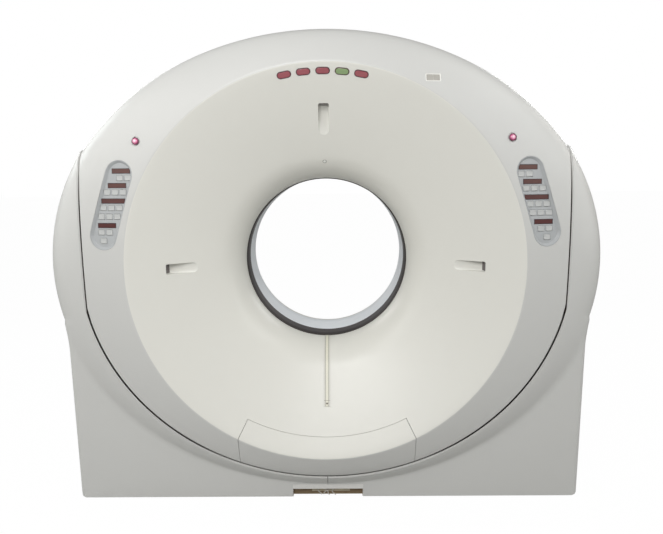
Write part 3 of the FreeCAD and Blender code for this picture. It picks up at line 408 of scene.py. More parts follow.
def band_seat(x, z, up):
    """A frame on the outer band: z square to it, y along `up`."""
    step = 0.001
    slope_x = (band_depth(x + step, z) - band_depth(x - step, z)) / (2 * step)
    slope_z = (band_depth(x, z + step) - band_depth(x, z - step)) / (2 * step)
    return seat((x, float(band_depth(x, z)), AXIS + z), (slope_x, -1, slope_z), up)


def band_height(frame_at, flat):
    """How far the outer band lies above a frame's own plane, at points of that plane."""
    turn, place = np.array(frame_at.to_3x3()), np.array(frame_at.translation)
    height = np.zeros(len(flat))
    for _ in range(6):
        at = np.column_stack([flat, height]) @ turn.T + place
        height += (band_depth(at[:, 0], at[:, 2] - AXIS) - at[:, 1]) / turn[1, 2]
    return height


def outline(width, height, corner, steps=8):
    """A rectangle with rounded corners, as points in its own plane."""
    corner = min(corner, width / 2 - 1e-6, height / 2 - 1e-6)
    quarter = np.linspace(0, math.pi / 2, steps)
    points = []
    for number, (across, along) in enumerate(((1, 1), (-1, 1), (-1, -1), (1, -1))):
        a = quarter + number * math.pi / 2
        points.append(np.stack([across * (width / 2 - corner) + corner * np.cos(a),
                                along * (height / 2 - corner) + corner * np.sin(a)], 1))
    return np.concatenate(points)


def solid_from_caps(name, rings):
    """A closed mesh from two or more like outlines, with a flat face at each end."""
    return solid_from_grid(name, np.array(rings, float), caps=True)


def layered(name, frame_at, layers, centre=(0, 0), steps=8):
    """A closed piece of rounded rectangles (width, height, corner, level) in a local frame."""
    rings = [[frame_at @ Vector((x + centre[0], y + centre[1], level))
              for x, y in outline(width, height, corner, steps)]
             for width, height, corner, level in layers]
    return solid_from_caps(name, rings)


def lathed(name, frame_at, section, steps=64):
    """A closed round piece about a frame's z, from its section as radius and level."""
    turn = np.arange(steps) / steps * 2 * math.pi
    rings = [[frame_at @ Vector((r * math.cos(a), r * math.sin(a), level)) for a in turn]
             for r, level in section]
    return solid_from_caps(name, rings)


def mirrored(piece, name):
    """The same piece on the other side of the patient opening."""
    mesh = piece.data.copy()
    mesh.transform(Matrix.Diagonal((-1, 1, 1, 1)))
    return tidied(name, mesh)


def joined(name, pieces):
    """One object of several separate closed pieces."""
    work = bmesh.new()
    for piece in pieces:
        work.from_mesh(piece.data)
    mesh = bpy.data.meshes.new(name)
    work.to_mesh(mesh)
    work.free()
    removed(*pieces)
    return tidied(name, mesh)


def scoop_rings(place):
    """Outlines of a scoop that sinks outward from a round shallow end to a square far wall."""
    rings = []
    for level in (ABOVE, 0.0, -0.3 * SCOOP_DEPTH, -0.65 * SCOOP_DEPTH, -SCOOP_DEPTH):
        sunk = max(-level, 0) / SCOOP_DEPTH
        start = -scoop_reach + (2 * scoop_reach - SCOOP_LEVEL) * sunk
        middle, span = (scoop_reach + start) / 2, scoop_reach - start
        flat = outline(2 * SCOOP_HALF, span, SCOOP_CORNER, 10)
        near = flat[:, 1] < 0
        flat[near] = outline(2 * SCOOP_HALF, span, SCOOP_HALF * (1 - 0.6 * sunk), 10)[near]
        rings.append([place @ Vector((x, y + middle, level)) for x, y in flat])
    return rings


scoop_reach = (SCOOP_OUTER - SCOOP_INNER) / 2 / math.cos(cone_angle)
scoop_seats = [cone_seat((SCOOP_INNER + SCOOP_OUTER) / 2, a) for a in (0, 90, 180)]
lamp_seats = [cone_seat(LAMP_RADIUS, 90 + LAMP_STEP * k) for k in (2, 1, 0, -1, -2)]
status_seat = band_seat(*STATUS_PLACE, (0, 0, 1))
stop_seat = band_seat(*STOP_PLACE, (0, 0, 1))
tray_seat = band_seat(*PANEL_PLACE, (-PANEL_PLACE[1], 0, PANEL_PLACE[0]))
mic_turn = math.acos((arc_x - MIC_RADIUS) / FLARE_RADIUS)
mic_seat = seat((0, -LIP_DEPTH - FLARE_RADIUS * math.sin(mic_turn), AXIS + MIC_RADIUS),
                (0, -math.sin(mic_turn), -math.cos(mic_turn)), (0, 0, 1))

scoop_boss = (SCOOP_BOSS[0], 2 * scoop_reach + BOSS_SPARE, SCOOP_BOSS[1])
bosses = [layered("boss", place, [(*size, deep), (*size, BURIED)])
          for places, size, deep in ((scoop_seats, scoop_boss, SCOOP_BACK),
                                     (lamp_seats, LAMP_BOSS, LAMP_BACK))
          for place in places]
stop_boss = lathed("boss", stop_seat, [(STOP_BOSS, STOP_BACK), (STOP_BOSS, BURIED)])
bosses += [mirrored(stop_boss, "boss"), stop_boss]

cutters = [solid_from_caps("cutter", scoop_rings(place)) for place in scoop_seats]
for place in lamp_seats:
    size = (LAMP_SIZE[0] + FIT, LAMP_SIZE[1] + FIT, FULL_ROUND)
    cutters.append(layered("cutter", place, [(*size, -LAMP_SEAT), (*size, ABOVE)], steps=12))
cutters.append(lathed("cutter", mic_seat, [(MIC_HOLE, -MIC_CUT), (MIC_HOLE, MIC_CUT)], 32))
size = (*STATUS_SIZE, STATUS_CORNER)
cutters.append(layered("cutter", status_seat, [(*size, -STATUS_SEAT), (*size, ABOVE)]))
size = (2 * TRAY_HALF + WELL_ROOM, TRAY_LONG + WELL_ROOM, FULL_ROUND)
well = layered("cutter", tray_seat, [(*size, level) for level in WELL_CUT], steps=24)
sink = lathed("cutter", stop_seat, [(STOP_RADIUS + STOP_ROOM, -STOP_SINK),
                                    (STOP_RADIUS + STOP_ROOM, STOP_CUT)])
cutters += [well, mirrored(well, "cutter"), sink, mirrored(sink, "cutter")]


def flare_line(offset):
    """The flare's section curve as radius and depth, moved into the wall by offset."""
    turn = np.linspace(0, math.pi / 2 - cone_angle, 40)
    r = arc_x - (FLARE_RADIUS - offset) * np.cos(turn)
    y = -LIP_DEPTH - (FLARE_RADIUS - offset) * np.sin(turn)
    return r, y


def strip_rings(half, sink_depth, proud, lip, end):
    """Cross-sections of a strip laid down the flare at the bottom of the patient opening."""
    low, top = flare_line(sink_depth), flare_line(-proud)
    points = [((top[0][0], -lip), (low[0][0], -lip))] + list(zip(zip(*top), zip(*low)))
    (top_r, top_y), (low_r, low_y) = points[-1]
    for k in np.linspace(0, 1, 6)[1:]:
        step = (end - top_r) * k
        drop = -step * math.tan(cone_angle)
        points.append(((top_r + step, top_y + drop), (low_r + step, low_y + drop)))
    return [[(x, y, AXIS - r) for x, r, y in ((-half, r1, y1), (half, r1, y1),
                                              (half, r0, y0), (-half, r0, y0))]
            for (r0, y0), (r1, y1) in points]


def trunnion_gap(side):
    """A cutter for the half round gap on one side of the drum."""
    place = seat((side * FLAT_SIDE, 0, AXIS), (side, 0, 0), (0, 0, 1))
    return lathed("gap", place, [(TRUNNION_HOLE, -TRUNNION_CUT), (TRUNNION_HOLE, TRUNNION_CUT)], 96)


cutters.append(solid_from_caps("cutter", strip_rings(STRIP_HALF + FIT, STRIP_THICK, STRIP_CUT,
                                                     LIP_DEPTH - STRIP_CUT, STRIP_END + FIT)))
cutters += [trunnion_gap(-1), trunnion_gap(1)]
whole_front = solid_from_grid("whole_front", shell)
bosses, cutters = joined("bosses", bosses), joined("cutters", cutters)
cut(front_cover, bosses, "UNION")
cut(front_cover, cutters)
removed(bosses, cutters)

# ---------------------------------------------------------------- lower service panel
# The panel is sawn out of the front moulding, so that its surface runs on from the cover's; it is
# held by quarter-turn studs behind and leaves a thin shadow joint on three sides.
PANEL_TOP, PANEL_HALF, PANEL_JOINT, PANEL_WRAP = 0.715, 0.370, 0.0016, 0.075
PRISM_LOW, PRISM_FRONT = -1.2, -0.6          # past the moulding


def shown(piece, body, node, slot, material, degrees=32):
    """Sets a finished piece on its body, in the place of its node; smoothed unless degrees is 0."""
    if degrees:
        smooth(piece, degrees)
    piece.data.materials.clear()
    piece.data.materials.append(material)
    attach(piece, body)
    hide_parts(node)
    return piece


def service_prism(name, clearance):
    """The panel's outline as a straight prism through the front moulding."""
    half, top = PANEL_HALF - clearance, PANEL_TOP + clearance
    lean = math.asin(PANEL_HALF / RIM)
    x = half - (RIM - top) * math.sin(lean)
    spread = math.asin(x / top)
    outer = [(top * math.sin(a), -top * math.cos(a)) for a in np.linspace(-spread, spread, 60)]
    low = -math.sqrt(RIM ** 2 - half ** 2)
    outer += [(half, low), (half, PRISM_LOW), (-half, PRISM_LOW), (-half, low)]
    return solid_from_caps(name, [[(x, y, AXIS + z) for x, z in outer]
                                  for y in (PRISM_FRONT, -HALF_DEPTH + PANEL_WRAP - clearance)])


opening = service_prism("panel_opening", 0.0)
blank = service_prism("panel_blank", PANEL_JOINT)
service_panel = bpy.data.objects.new("service_panel_moulding", front_cover.data.copy())
bpy.context.scene.collection.objects.link(service_panel)
cut(service_panel, blank, "INTERSECT")
cut(front_cover, opening)
for piece, node in ((service_panel, "service_panel"), (front_cover, "front_cover")):
    shown(keep_shading(piece, whole_front), "gantry", node, "drum_cover", drum_paint, 0)
removed(opening, blank, whole_front)

# ---------------------------------------------------------------- rear cover
# The rear moulding has warm-air slots on the flare's upper left and right, and like the front one a
# half round gap on each side for the trunnion.
SLOT_COUNT, SLOT_PITCH, SLOT_SIZE, SLOT_CENTRE = 11, 0.022, (0.240, 0.009), 0.660
SLOT_BEARING, SLOT_CUT = 45, 0.024
whole_rear = solid_from_grid("whole_rear", shell * FRONT_TO_REAR)
slots = []
for side in (-1, 1):
    for k in range(SLOT_COUNT):
        offset = (k - (SLOT_COUNT - 1) / 2) * SLOT_PITCH
        slot = layered("slot", cone_seat(SLOT_CENTRE, 90 + side * SLOT_BEARING),
                       [(*SLOT_SIZE, FULL_ROUND, -SLOT_CUT), (*SLOT_SIZE, FULL_ROUND, SLOT_CUT)],
                       centre=(0, offset))
        slot.data.transform(Matrix.Diagonal((1, -1, 1, 1)))
        slots.append(slot)
    slots.append(trunnion_gap(side))
slots = joined("rear_slots", slots)
cut(rear_cover, slots)
shown(keep_shading(rear_cover, whole_rear), "gantry", "rear_cover", "drum_cover", drum_paint, 0)
removed(slots, whole_rear)

# ---------------------------------------------------------------- cover joint gasket
# A dark foam strip lies inside the joint where the front and rear mouldings meet, all round the
# drum, so that no light comes through it; it stops at the trunnions.
GASKET_HALF, GASKET_THICK, GASKET_FREE, TRUNNION_ROOM = 0.011, 0.005, 0.0002, 0.004


def gasket_rings(angle):
    """Cross-sections of the strip against the inside of the drum's walls."""
    rings = []
    for grow, y in ((GASKET_FREE, -GASKET_HALF), (GASKET_FREE, GASKET_HALF),
                    (GASKET_THICK, GASKET_HALF), (GASKET_THICK, -GASKET_HALF)):
        inset = WALL + grow
        wall = np.minimum(swept_radius(angle, y, -inset),
                          pebble_radius(angle, 1.0, HALF_HEIGHT, inset))
        rings.append(in_place(angle, wall, y))
    return np.stack(rings, 1)


def grained(name, one, two, scale, roughness, spread, height, strength):
    """A finish whose one fine grain varies the colour, the gloss and the surface."""
    finish = Finish(name)
    grain = finish.noise(scale, 3.0)
    return finish.done(Base_Color=finish.mix(grain, one, two),
                       Roughness=roughness + grain * spread if spread else roughness,
                       Normal=finish.bump(grain, height, strength))


foam_paint = grained("joint_foam", (52, 50, 48), (74, 72, 70), 700.0, 0.85, 0, 0.0004, 0.5)
past_trunnion = math.asin((TRUNNION_HOLE + TRUNNION_ROOM) / FLAT_SIDE)
arc = np.linspace(past_trunnion, math.pi - past_trunnion, 200)
gaskets = [solid_from_caps("gasket", gasket_rings(side)) for side in (arc, -arc[::-1])]
shown(joined("cover_joint_gasket", gaskets), "gantry", "rear_cover", "drum_cover", foam_paint, 30)


# ================================================================ stand covers
# Two mouldings carry the pebble's outline on below the drum and swell out of the flat base block in
# a soft crease. They wrap front, side and rear, and meet in a fine line above the cable outlet.
STAND_HALF_HEIGHT = 0.953
SEAM_GAP = 0.010
BASE_HALF_WIDTH, BASE_HALF_DEPTH, BASE_TOP, BASE_LOW = 1.085, 0.398, 0.799, 0.004
BASE_CORNER, TOE_CORNER = 0.026, 0.022
CREASE = 0.034
LINING = 0.006
UNDER_HALF_WIDTH, UNDER_HALF_DEPTH = 0.760, 0.338
COLLAR_HOLE = 0.080
PORT_OPENING = (0.1543, 0.0613, 0.024)       # half width, top and depth
BELOW = -1.0                                 # past the floor, for the hollow
CORE_DEEP, CORE_BEHIND = 0.05, 0.03          # how far the sections' core lies inside the walls
BLOCK_PAST, CORNER_SPAN = 0.04, 0.03         # least width past the pebble; fine rows at a corner
LONGEST, LAST_DEPTH, LAST_TURN = 2.0, -0.1, -1.05
SWEEP_STEPS, TOE_STEPS, TIP_STEPS = 330, 25, 16


def stand_low(inset):
    """The stand's lower end; its hollow goes on past the floor."""
    return BASE_LOW if inset == 0 else BELOW


def base_inside(angle, radius, y, inset):
    """Whether a point lies in the base block with its rounded upright edges and lower corners."""
    x = np.abs(radius * np.cos(angle))
    z = AXIS + radius * np.sin(angle)
    past_x = np.maximum(x - (BASE_HALF_WIDTH - BASE_CORNER), 0)
    past_y = np.maximum(np.abs(y) - (BASE_HALF_DEPTH - BASE_CORNER), 0)
    toe_x = np.maximum(x - (BASE_HALF_WIDTH - TOE_CORNER), 0)
    toe_z = np.maximum(stand_low(inset) + TOE_CORNER - z, 0)
    return ((np.hypot(past_x, past_y) < BASE_CORNER - inset) & (z < BASE_TOP)
            & (np.hypot(toe_x, toe_z) < TOE_CORNER - inset) & (z > stand_low(inset)))


def pebble_inside(angle, radius, y, inset):
    """Whether a point lies in the stand's pebble form, above the floor."""
    wall = pebble_radius(angle, share_at(y, inset), STAND_HALF_HEIGHT, inset)
    above = AXIS + radius * np.sin(angle) > stand_low(inset)
    return (radius < wall) & (np.abs(y) < HALF_DEPTH - inset) & above


def stand_body(name, angle, inset, gap):
    """A closed body between the drum's space and the stand's outer form, in sections round it."""
    bearing = angle[:, None]
    none, all_ = np.zeros_like(bearing), np.ones_like(bearing)
    edge = pebble_radius(bearing, all_, STAND_HALF_HEIGHT, inset)

    def free(t):
        share, drop = band_at(t)
        r = pebble_radius(bearing, share, STAND_HALF_HEIGHT, inset)
        return r < swept_radius(bearing, inset - HALF_DEPTH + drop, gap)

    share, drop = band_at(crossing(free, none, all_))
    seam_r = pebble_radius(bearing, share, STAND_HALF_HEIGHT, inset)
    seam_y = inset - HALF_DEPTH + drop
    base_y = inset - BASE_HALF_DEPTH
    core_y = np.maximum(base_y + CORE_DEEP, seam_y + CORE_BEHIND)
    lining = swept_radius(bearing, core_y, gap)
    thick = edge - lining
    core_r = lining + np.maximum(thick / 2, thick - CORE_DEEP)
    outline = np.minimum((BASE_HALF_WIDTH - inset) / np.maximum(np.abs(np.cos(bearing)), 1e-6),
                         (AXIS - stand_low(inset)) / np.maximum(-np.sin(bearing), 1e-6))
    corner_r = np.maximum(outline, edge + BLOCK_PAST)

    def wall(across, down, y):
        """Distance from the section's core to the outer form, with its crease filled softly."""
        body, base = [crossing(lambda length: inside(bearing, core_r + length * across,
                                                     y - length * down, inset),
                               np.zeros_like(across), np.full_like(across, LONGEST))
                      for inside in (pebble_inside, base_inside)]
        blend = np.maximum(CREASE - np.abs(body - base), 0) / CREASE
        return np.maximum(body, base) + blend ** 2 * CREASE / 4

    side_r = core_r + wall(all_, none, none)

    def turn_to(r, y):
        return np.arctan2(core_y - y, r - core_r)

    turns = []
    stops = [(turn_to(seam_r, seam_y), 0), (turn_to(edge, base_y), 30),
             (turn_to(corner_r - CORNER_SPAN, base_y), 22), (turn_to(corner_r, base_y), 6),
             (turn_to(corner_r, base_y + CORNER_SPAN), 6),
             (np.maximum(turn_to(side_r, LAST_DEPTH * all_), LAST_TURN), 5)]
    for (low, _), (high, count) in zip(stops, stops[1:]):
        high = np.minimum(high, low - 1e-4)
        turns.append(low + (high - low) * np.linspace(0, 1, count, endpoint=False))
    turn = np.concatenate(turns + [stops[-1][0]], 1)

    length = wall(np.cos(turn), np.sin(turn), core_y)
    skin = in_place(bearing, core_r + length * np.cos(turn), core_y - length * np.sin(turn))
    side = in_place(bearing, side_r, none)
    lining_y = seam_y * np.linspace(0, 1, 12, endpoint=False)
    inner = in_place(bearing, swept_radius(bearing, lining_y, gap), lining_y)
    half = np.concatenate([inner, skin, side], 1)
    if inset == 0:
        half = rounded(half, inner.shape[1], SEAM_EDGE)
    rear = (half * FRONT_TO_REAR)[:, -2:0:-1]
    return solid_from_grid(name, np.concatenate([half, rear], 1), caps=True)


def box_solid(name, low, high):
    """A plain block as a cutting tool."""
    (x0, y0, z0), (x1, y1, z1) = low, high
    return solid_from_caps(name, [[(x0, y0, z), (x1, y0, z), (x1, y1, z), (x0, y1, z)]
                                  for z in (z0, z1)])


def tube(name, points, radius, steps):
    """A closed round bar along a line of points."""
    points = [Vector(p) for p in points]
    rings = []
    for number, point in enumerate(points):
        ahead = points[min(number + 1, len(points) - 1)] - points[max(number - 1, 0)]
        turn = ahead.to_track_quat("Z", "Y")
        rings.append([point + turn @ Vector((radius * math.cos(a), radius * math.sin(a), 0))
                      for a in np.arange(steps) / steps * 2 * math.pi])
    return solid_from_caps(name, rings)


arm_x = FLAT_SIDE + SEAM_GAP
arm_tip = math.atan2(STAND_HALF_HEIGHT * math.sqrt(1 - (arm_x / HALF_WIDTH) ** 2), arm_x) - 1e-4
toe = math.atan2(AXIS - BASE_LOW, BASE_HALF_WIDTH)
even = np.linspace(-math.pi - arm_tip, arm_tip, SWEEP_STEPS)
fine = np.linspace(-0.03, 0.03, TOE_STEPS)
near_tip = arm_tip - np.linspace(0, 1, TIP_STEPS)[1:] ** 2 * 0.012
sweep = np.unique(np.concatenate([even, fine - toe, fine - math.pi + toe,
                                  near_tip, -math.pi - near_tip]))
stand = stand_body("stand_whole", sweep, 0.0, SEAM_GAP)
hollow = stand_body("stand_hollow", even[1:-1:2], WALL, SEAM_GAP + LINING)
under = box_solid("under", (-UNDER_HALF_WIDTH, -UNDER_HALF_DEPTH, BELOW),
                  (UNDER_HALF_WIDTH, UNDER_HALF_DEPTH, BASE_TOP))
inner_floor = box_solid("inner_floor",
                        (-UNDER_HALF_WIDTH - LINING, -UNDER_HALF_DEPTH - LINING, BELOW - 1),
                        (UNDER_HALF_WIDTH + LINING, UNDER_HALF_DEPTH + LINING, BASE_TOP))
collar = tube("collar_hole", ((-1.0, 0, AXIS), (1.0, 0, AXIS)), COLLAR_HOLE, 64)
port = box_solid("port_opening", (-PORT_OPENING[0], -1, BELOW),
                 (PORT_OPENING[0], -BASE_HALF_DEPTH + PORT_OPENING[2], PORT_OPENING[1]))
right_half = box_solid("right_half", (0.001, -1, BELOW), (2, 1, 3))
cut(hollow, inner_floor)
for tool in (hollow, under, collar, port):
    cut(stand, tool)
cut(stand, right_half, "INTERSECT")
stand_paint = satin_paint("stand_satin_paint", cool_grey, cool_grey)
for side, name in ((1, "stand_cover_right"), (-1, "stand_cover_left")):
    mesh = stand.data.copy()
    mesh.transform(Matrix.Diagonal((side, 1, 1, 1)))
    shown(tidied(name + "_moulding", mesh), "stand", name, "stand_cover", stand_paint)
removed(stand, hollow, under, inner_floor, collar, port, right_half)


# ================================================================ seam trim and seal
# The stand covers' inner edge carries a grey trim, and behind it a dark rubber lip that fills most
# of the running gap to the drum; the rubber is painted paler grey along the floor, and towards the
# arm tips it is painted pale as painted light in the open gap.
TRIM_SINK, TRIM_FREE = 0.0012, 0.0062
SEAL_SINK, SEAL_DEEP, SEAL_FREE = 0.0040, 0.022, 0.0036


def seam_rings(angle, sunk, held, free_gap):
    """Cross-sections of a strip round the stand's inner edge, between two gaps to the drum."""
    bearing = angle[:, None]

    def free(t):
        share, drop = band_at(t)
        r = pebble_radius(bearing, share, STAND_HALF_HEIGHT, 0.0)
        return r < swept_radius(bearing, drop - HALF_DEPTH, SEAM_GAP)

    _, drop = band_at(crossing(free, np.zeros_like(bearing), np.ones_like(bearing)))
    edge_y = drop - HALF_DEPTH
    corners = []
    for down, gap in ((sunk, held), (SEAL_DEEP, held), (SEAL_DEEP, free_gap),
                      (sunk + 0.0012, free_gap), (sunk, free_gap + 0.0012)):
        y = edge_y + down
        corners.append(in_place(bearing, swept_radius(bearing, y, gap), y)[:, 0])
    return np.stack(corners, 1)


seal_rubber = Finish("seam_rubber")
speck = seal_rubber.noise(180.0, 3.0)
# Paler grey along the floor; towards the arm tips, painted light: pale rubber where light falls
# into the gap
paler_along_floor = seal_rubber.ramp(abs(seal_rubber.axis("X")), 0.58, 0.36)
painted_light_near_tips = seal_rubber.ramp(seal_rubber.axis("Z"), 1.30, 1.48)
dark_seal = seal_rubber.mix(speck, (58, 46, 42), (38, 30, 28))
seal_paint = seal_rubber.done(Base_Color=seal_rubber.mix(paler_along_floor + painted_light_near_tips, dark_seal, (205, 204, 200)),
                              Roughness=0.5 + speck * 0.2,
                              Normal=seal_rubber.bump(speck, 0.0003, 0.4))
run = np.linspace(-math.pi / 2 + 0.0012, arm_tip - 0.006, 260)
for kind, paint, sizes in (("trim", stand_paint, (TRIM_SINK, SEAM_GAP - HAIR, TRIM_FREE)),
                           ("seal", seal_paint, (SEAL_SINK, TRIM_FREE - HAIR, SEAL_FREE))):
    front = solid_from_caps("front", seam_rings(run, *sizes))
    back = front.data.copy()
    back.transform(Matrix.Diagonal((1, -1, 1, 1)))
    right = joined("seam_%s_right" % kind, [front, tidied("back", back)])
    left = mirrored(right, "seam_%s_left" % kind)
    shown(right, "stand", "stand_cover_right", "stand_cover", paint, 40)
    shown(left, "stand", "stand_cover_left", "stand_cover", paint, 40)


# ================================================================ patient opening
# Inside the flare's lip two moulded rings, dark in front and pale behind, hold a thin film, the
# scan window, that the beam passes through. Film and rings are sprung into the opening.
WINDOW_HALF, WINDOW_WALL, RING_STEP, RING_BULGE = 0.095, 0.003, 0.0005, 0.003


def turned(name, section, steps=240):
    """A ring turned about the patient opening's axis from a closed outline of radius and depth."""
    bearing = (np.arange(steps) / steps * 2 * math.pi)[:, None]
    section = np.array(section)
    return solid_from_grid(name, in_place(bearing, section[:, 0], section[:, 1]))


film = Finish("scan_window_film")
weave = film.noise(35.0)
pale_film = film.mix(weave, (238, 243, 248), (247, 250, 252))
film_paint = film.done(Base_Color=film.mix(film.axis("Y") < -0.035, pale_film, (58, 52, 52)),
                       Roughness=0.34 + weave * 0.1, Coat_Weight=0.3, Coat_Roughness=0.15)
rubber_paint = grained("dark_ring_rubber", (38, 33, 32), (56, 49, 47),
                       260.0, 0.46, 0.2, 0.0004, 0.4)
pale_ring_paint = grained("pale_ring_plastic", (222, 226, 230), (232, 235, 238),
                          260.0, 0.4, 0.1, 0.0002, 0.3)
inner = LIP_RADIUS - WINDOW_WALL
window = turned("scan_window_film", [(LIP_RADIUS, -WINDOW_HALF), (inner, -WINDOW_HALF + 0.0002),
                                     (inner, WINDOW_HALF - 0.0002), (LIP_RADIUS, WINDOW_HALF)])
shown(window, "gantry", "scan_window", "window_film", film_paint, 30)
low = inner - RING_STEP
round_edge = [(low + RING_BULGE * (1 - math.sin(a)), RING_BULGE * (1 - math.cos(a)))
              for a in np.linspace(0, math.pi / 2, 7)]
near, far = WINDOW_HALF + HAIR, LIP_DEPTH
section = [(LIP_RADIUS + WALL, near)] + [(r, near + d) for r, d in round_edge]
section += [(r, far - d) for r, d in reversed(round_edge)] + [(LIP_RADIUS + WALL, far)]
for side, name, paint in ((-1, "bore_ring_front", rubber_paint),
                          (1, "bore_ring_rear", pale_ring_paint)):
    ring = turned(name, [(r, side * y) for r, y in section])
    shown(ring, "gantry", "bore_rings", "dark_seal", paint, 40)


# ================================================================ indicator lamps
# Five long lenses of tinted acrylic, four red and one green, domed and polished, each pressed into
# a dark bezel in its seat at the top of the flare.
LENS_SIZE, LENS_LEVEL, LENS_TOP = (0.0485, 0.0215), 0.0011, (0.01075, 0.0025, 0.0013)
BEZEL_TOP = (0.0139, 0.0010, 0.0008)         # corner, level of the top, rounding
GREEN_LAMP = 3


def rounded_top(width, height, corner, top, radius, steps=5):
    """Layers of a slab's rounded upper edge, from its side up to its flat top."""
    layers = []
    for a in np.linspace(0, math.pi / 2, steps):
        inset = radius * (1 - math.cos(a))
        layers.append((width - 2 * inset, height - 2 * inset, max(corner - inset, 1e-4),
                       top - radius * (1 - math.sin(a))))
    return layers


def glossy(name, light, dark, roughness, scale=40.0, coat=0.6):
    """Polished plastic with cloudy colour and a clear surface."""
    gloss = Finish(name)
    cloud, wear = gloss.noise(scale, 3.0), gloss.noise(scale * 9)
    return gloss.done(Base_Color=gloss.mix(cloud, dark, light), Roughness=roughness + wear * 0.08,
                      Normal=gloss.bump(wear, 0.0001, 0.2), Coat_Weight=coat, Coat_Roughness=0.05)


def edge_shaded_lens_paint(name, edge, middle):
    """Tinted acrylic, with painted shade: darker where the lens curves away from the flare's slope.
    """
    lens = Finish(name)
    cloud, normal = lens.noise(55.0, 3.0), lens.node("ShaderNodeTexCoord", {}, {}, "Normal")
    slope = (0, -math.cos(cone_angle), -math.sin(cone_angle))
    level = lens.vector("DOT_PRODUCT", normal, slope, "Value")
    # Painted shade: the tint darkens towards the lens's rounded edge
    tint = lens.mix(1.0 - level ** 0.7, middle, edge)
    return lens.done(Base_Color=lens.mix(cloud * 0.5, tint, (0.62, 0.56, 0.56, 1), "MULTIPLY"),
                     Roughness=0.10 + cloud * 0.10, Coat_Weight=0.7, Coat_Roughness=0.04)


bezel_paint = glossy("lamp_bezel_plastic", (88, 50, 58), (60, 32, 40), 0.3, 120.0, 0.2)
red_lens = edge_shaded_lens_paint("red_lens_acrylic", (106, 42, 54), (160, 82, 90))
green_lens = edge_shaded_lens_paint("green_lens_acrylic", (70, 96, 56), (136, 162, 112))
lamps = {"red": [], "green": []}
for number, place in enumerate(lamp_seats):
    bezel = layered("bezel", place, [(*LAMP_SIZE, FULL_ROUND, -LAMP_SEAT)]
                    + rounded_top(*LAMP_SIZE, *BEZEL_TOP), steps=14)
    lens = layered("lens", place, [(*LENS_SIZE, FULL_ROUND, LENS_LEVEL)]
                   + rounded_top(*LENS_SIZE, *LENS_TOP, 7), steps=14)
    lamps["green" if number == GREEN_LAMP else "red"].append((bezel, lens))
for tint, node, paint in (("red", "lamp_lenses_red", red_lens),
                          ("green", "lamp_lens_green", green_lens)):
    bezels, lenses = zip(*lamps[tint])
    shown(joined("lamp_bezels_" + tint, bezels), "gantry", node, "lamp_" + tint, bezel_paint, 50)
    shown(joined("lamp_lenses_" + tint, lenses), "gantry", node, "lamp_" + tint, paint, 50)


# ================================================================ laser windows and microphone
# At the outer end of each scoop a dark glass window lets the alignment laser out; it leans in a
# grey frame. The microphone hides behind a small perforated cap above the patient opening.
LASER_FRAME, LASER_PANE = (0.0412, 0.0343, 0.0020), (0.0350, 0.0285, 0.0030)
LASER_CHAMFER, LASER_LEAN = (0.0342, 0.0277, 0.0026), 52
LASER_BACK, LASER_SUNK = 0.0115, 0.0160
laser_glass = glossy("laser_glass", (66, 48, 52), (38, 26, 32), 0.06, 60.0)
trim_grey = glossy("trim_grey_plastic", (206, 206, 202), (192, 192, 188), 0.34, 90.0, 0.1)
glass_parts, frame_parts = [], []
for place in scoop_seats:
    leaning = (place @ Matrix.Translation((0, scoop_reach - LASER_BACK, -LASER_SUNK))
               @ Matrix.Rotation(math.radians(LASER_LEAN), 4, "X"))
    frame_parts.append(layered("frame", leaning, [(*LASER_FRAME, -0.0012), (*LASER_FRAME, 0.0)]))
    glass_parts.append(layered("window", leaning, [(*LASER_PANE, -0.0004), (*LASER_PANE, 0.0005),
                                                   (*LASER_CHAMFER, 0.0009)]))
for name, parts, paint in (("laser_windows", glass_parts, laser_glass),
                           ("laser_window_frames", frame_parts, trim_grey)):
    shown(joined(name, parts), "gantry", "laser_lenses", "laser_glass", paint)

CAP_SECTION = ((0.0082, -0.0035), (0.0082, -0.0012), (0.0078, -0.0006), (0.0040, -0.0004),
               (0.0002, -0.0003))            # radius and level
cap_paint = Finish("microphone_cap")
local = cap_paint.vector("SUBTRACT", cap_paint.point, tuple(mic_seat.translation))
# Painted shade: the perforations are darker dots painted on the solid cap, not cut holes
holes = cap_paint.node("ShaderNodeTexVoronoi", {"feature": "F1"},
                       {"Vector": local, "Scale": 520.0, "Randomness": 0.0}, "Distance")
speckle = cap_paint.noise(300.0)
plain = cap_paint.mix(speckle, (234, 234, 228), (243, 243, 238))
face = cap_paint.mix(holes < 0.30, plain, (160, 158, 154))
outside = cap_paint.vector("LENGTH", local, output="Value") > 0.0060
cap_finish = cap_paint.done(Base_Color=cap_paint.mix(outside, face, (150, 148, 142)),
                            Roughness=0.42 + speckle * 0.1)
cap = lathed("microphone_cap", mic_seat, CAP_SECTION, 48)
shown(cap, "gantry", "front_cover", "drum_cover", cap_finish)


# ================================================================ centre strip
# A cream plastic strip is glued into the groove down the middle of the flare below the patient
# opening, with two fine grooves along it, painted darker as painted shade, and a screwed end piece.
GROOVE, END_JOINT = (0.0058, 0.0074), (0.0206, 0.0222)
SCREW_SECTION = ((0.0040, 0.0001), (0.0040, 0.0011), (0.0030, 0.0018), (0.0012, 0.0019),
                 (0.0009, 0.0012), (0.0001, 0.0012))
cream = Finish("cream_strip")
off, height, cloud = abs(cream.axis("X")), cream.axis("Z"), cream.noise(45.0, 3.0)
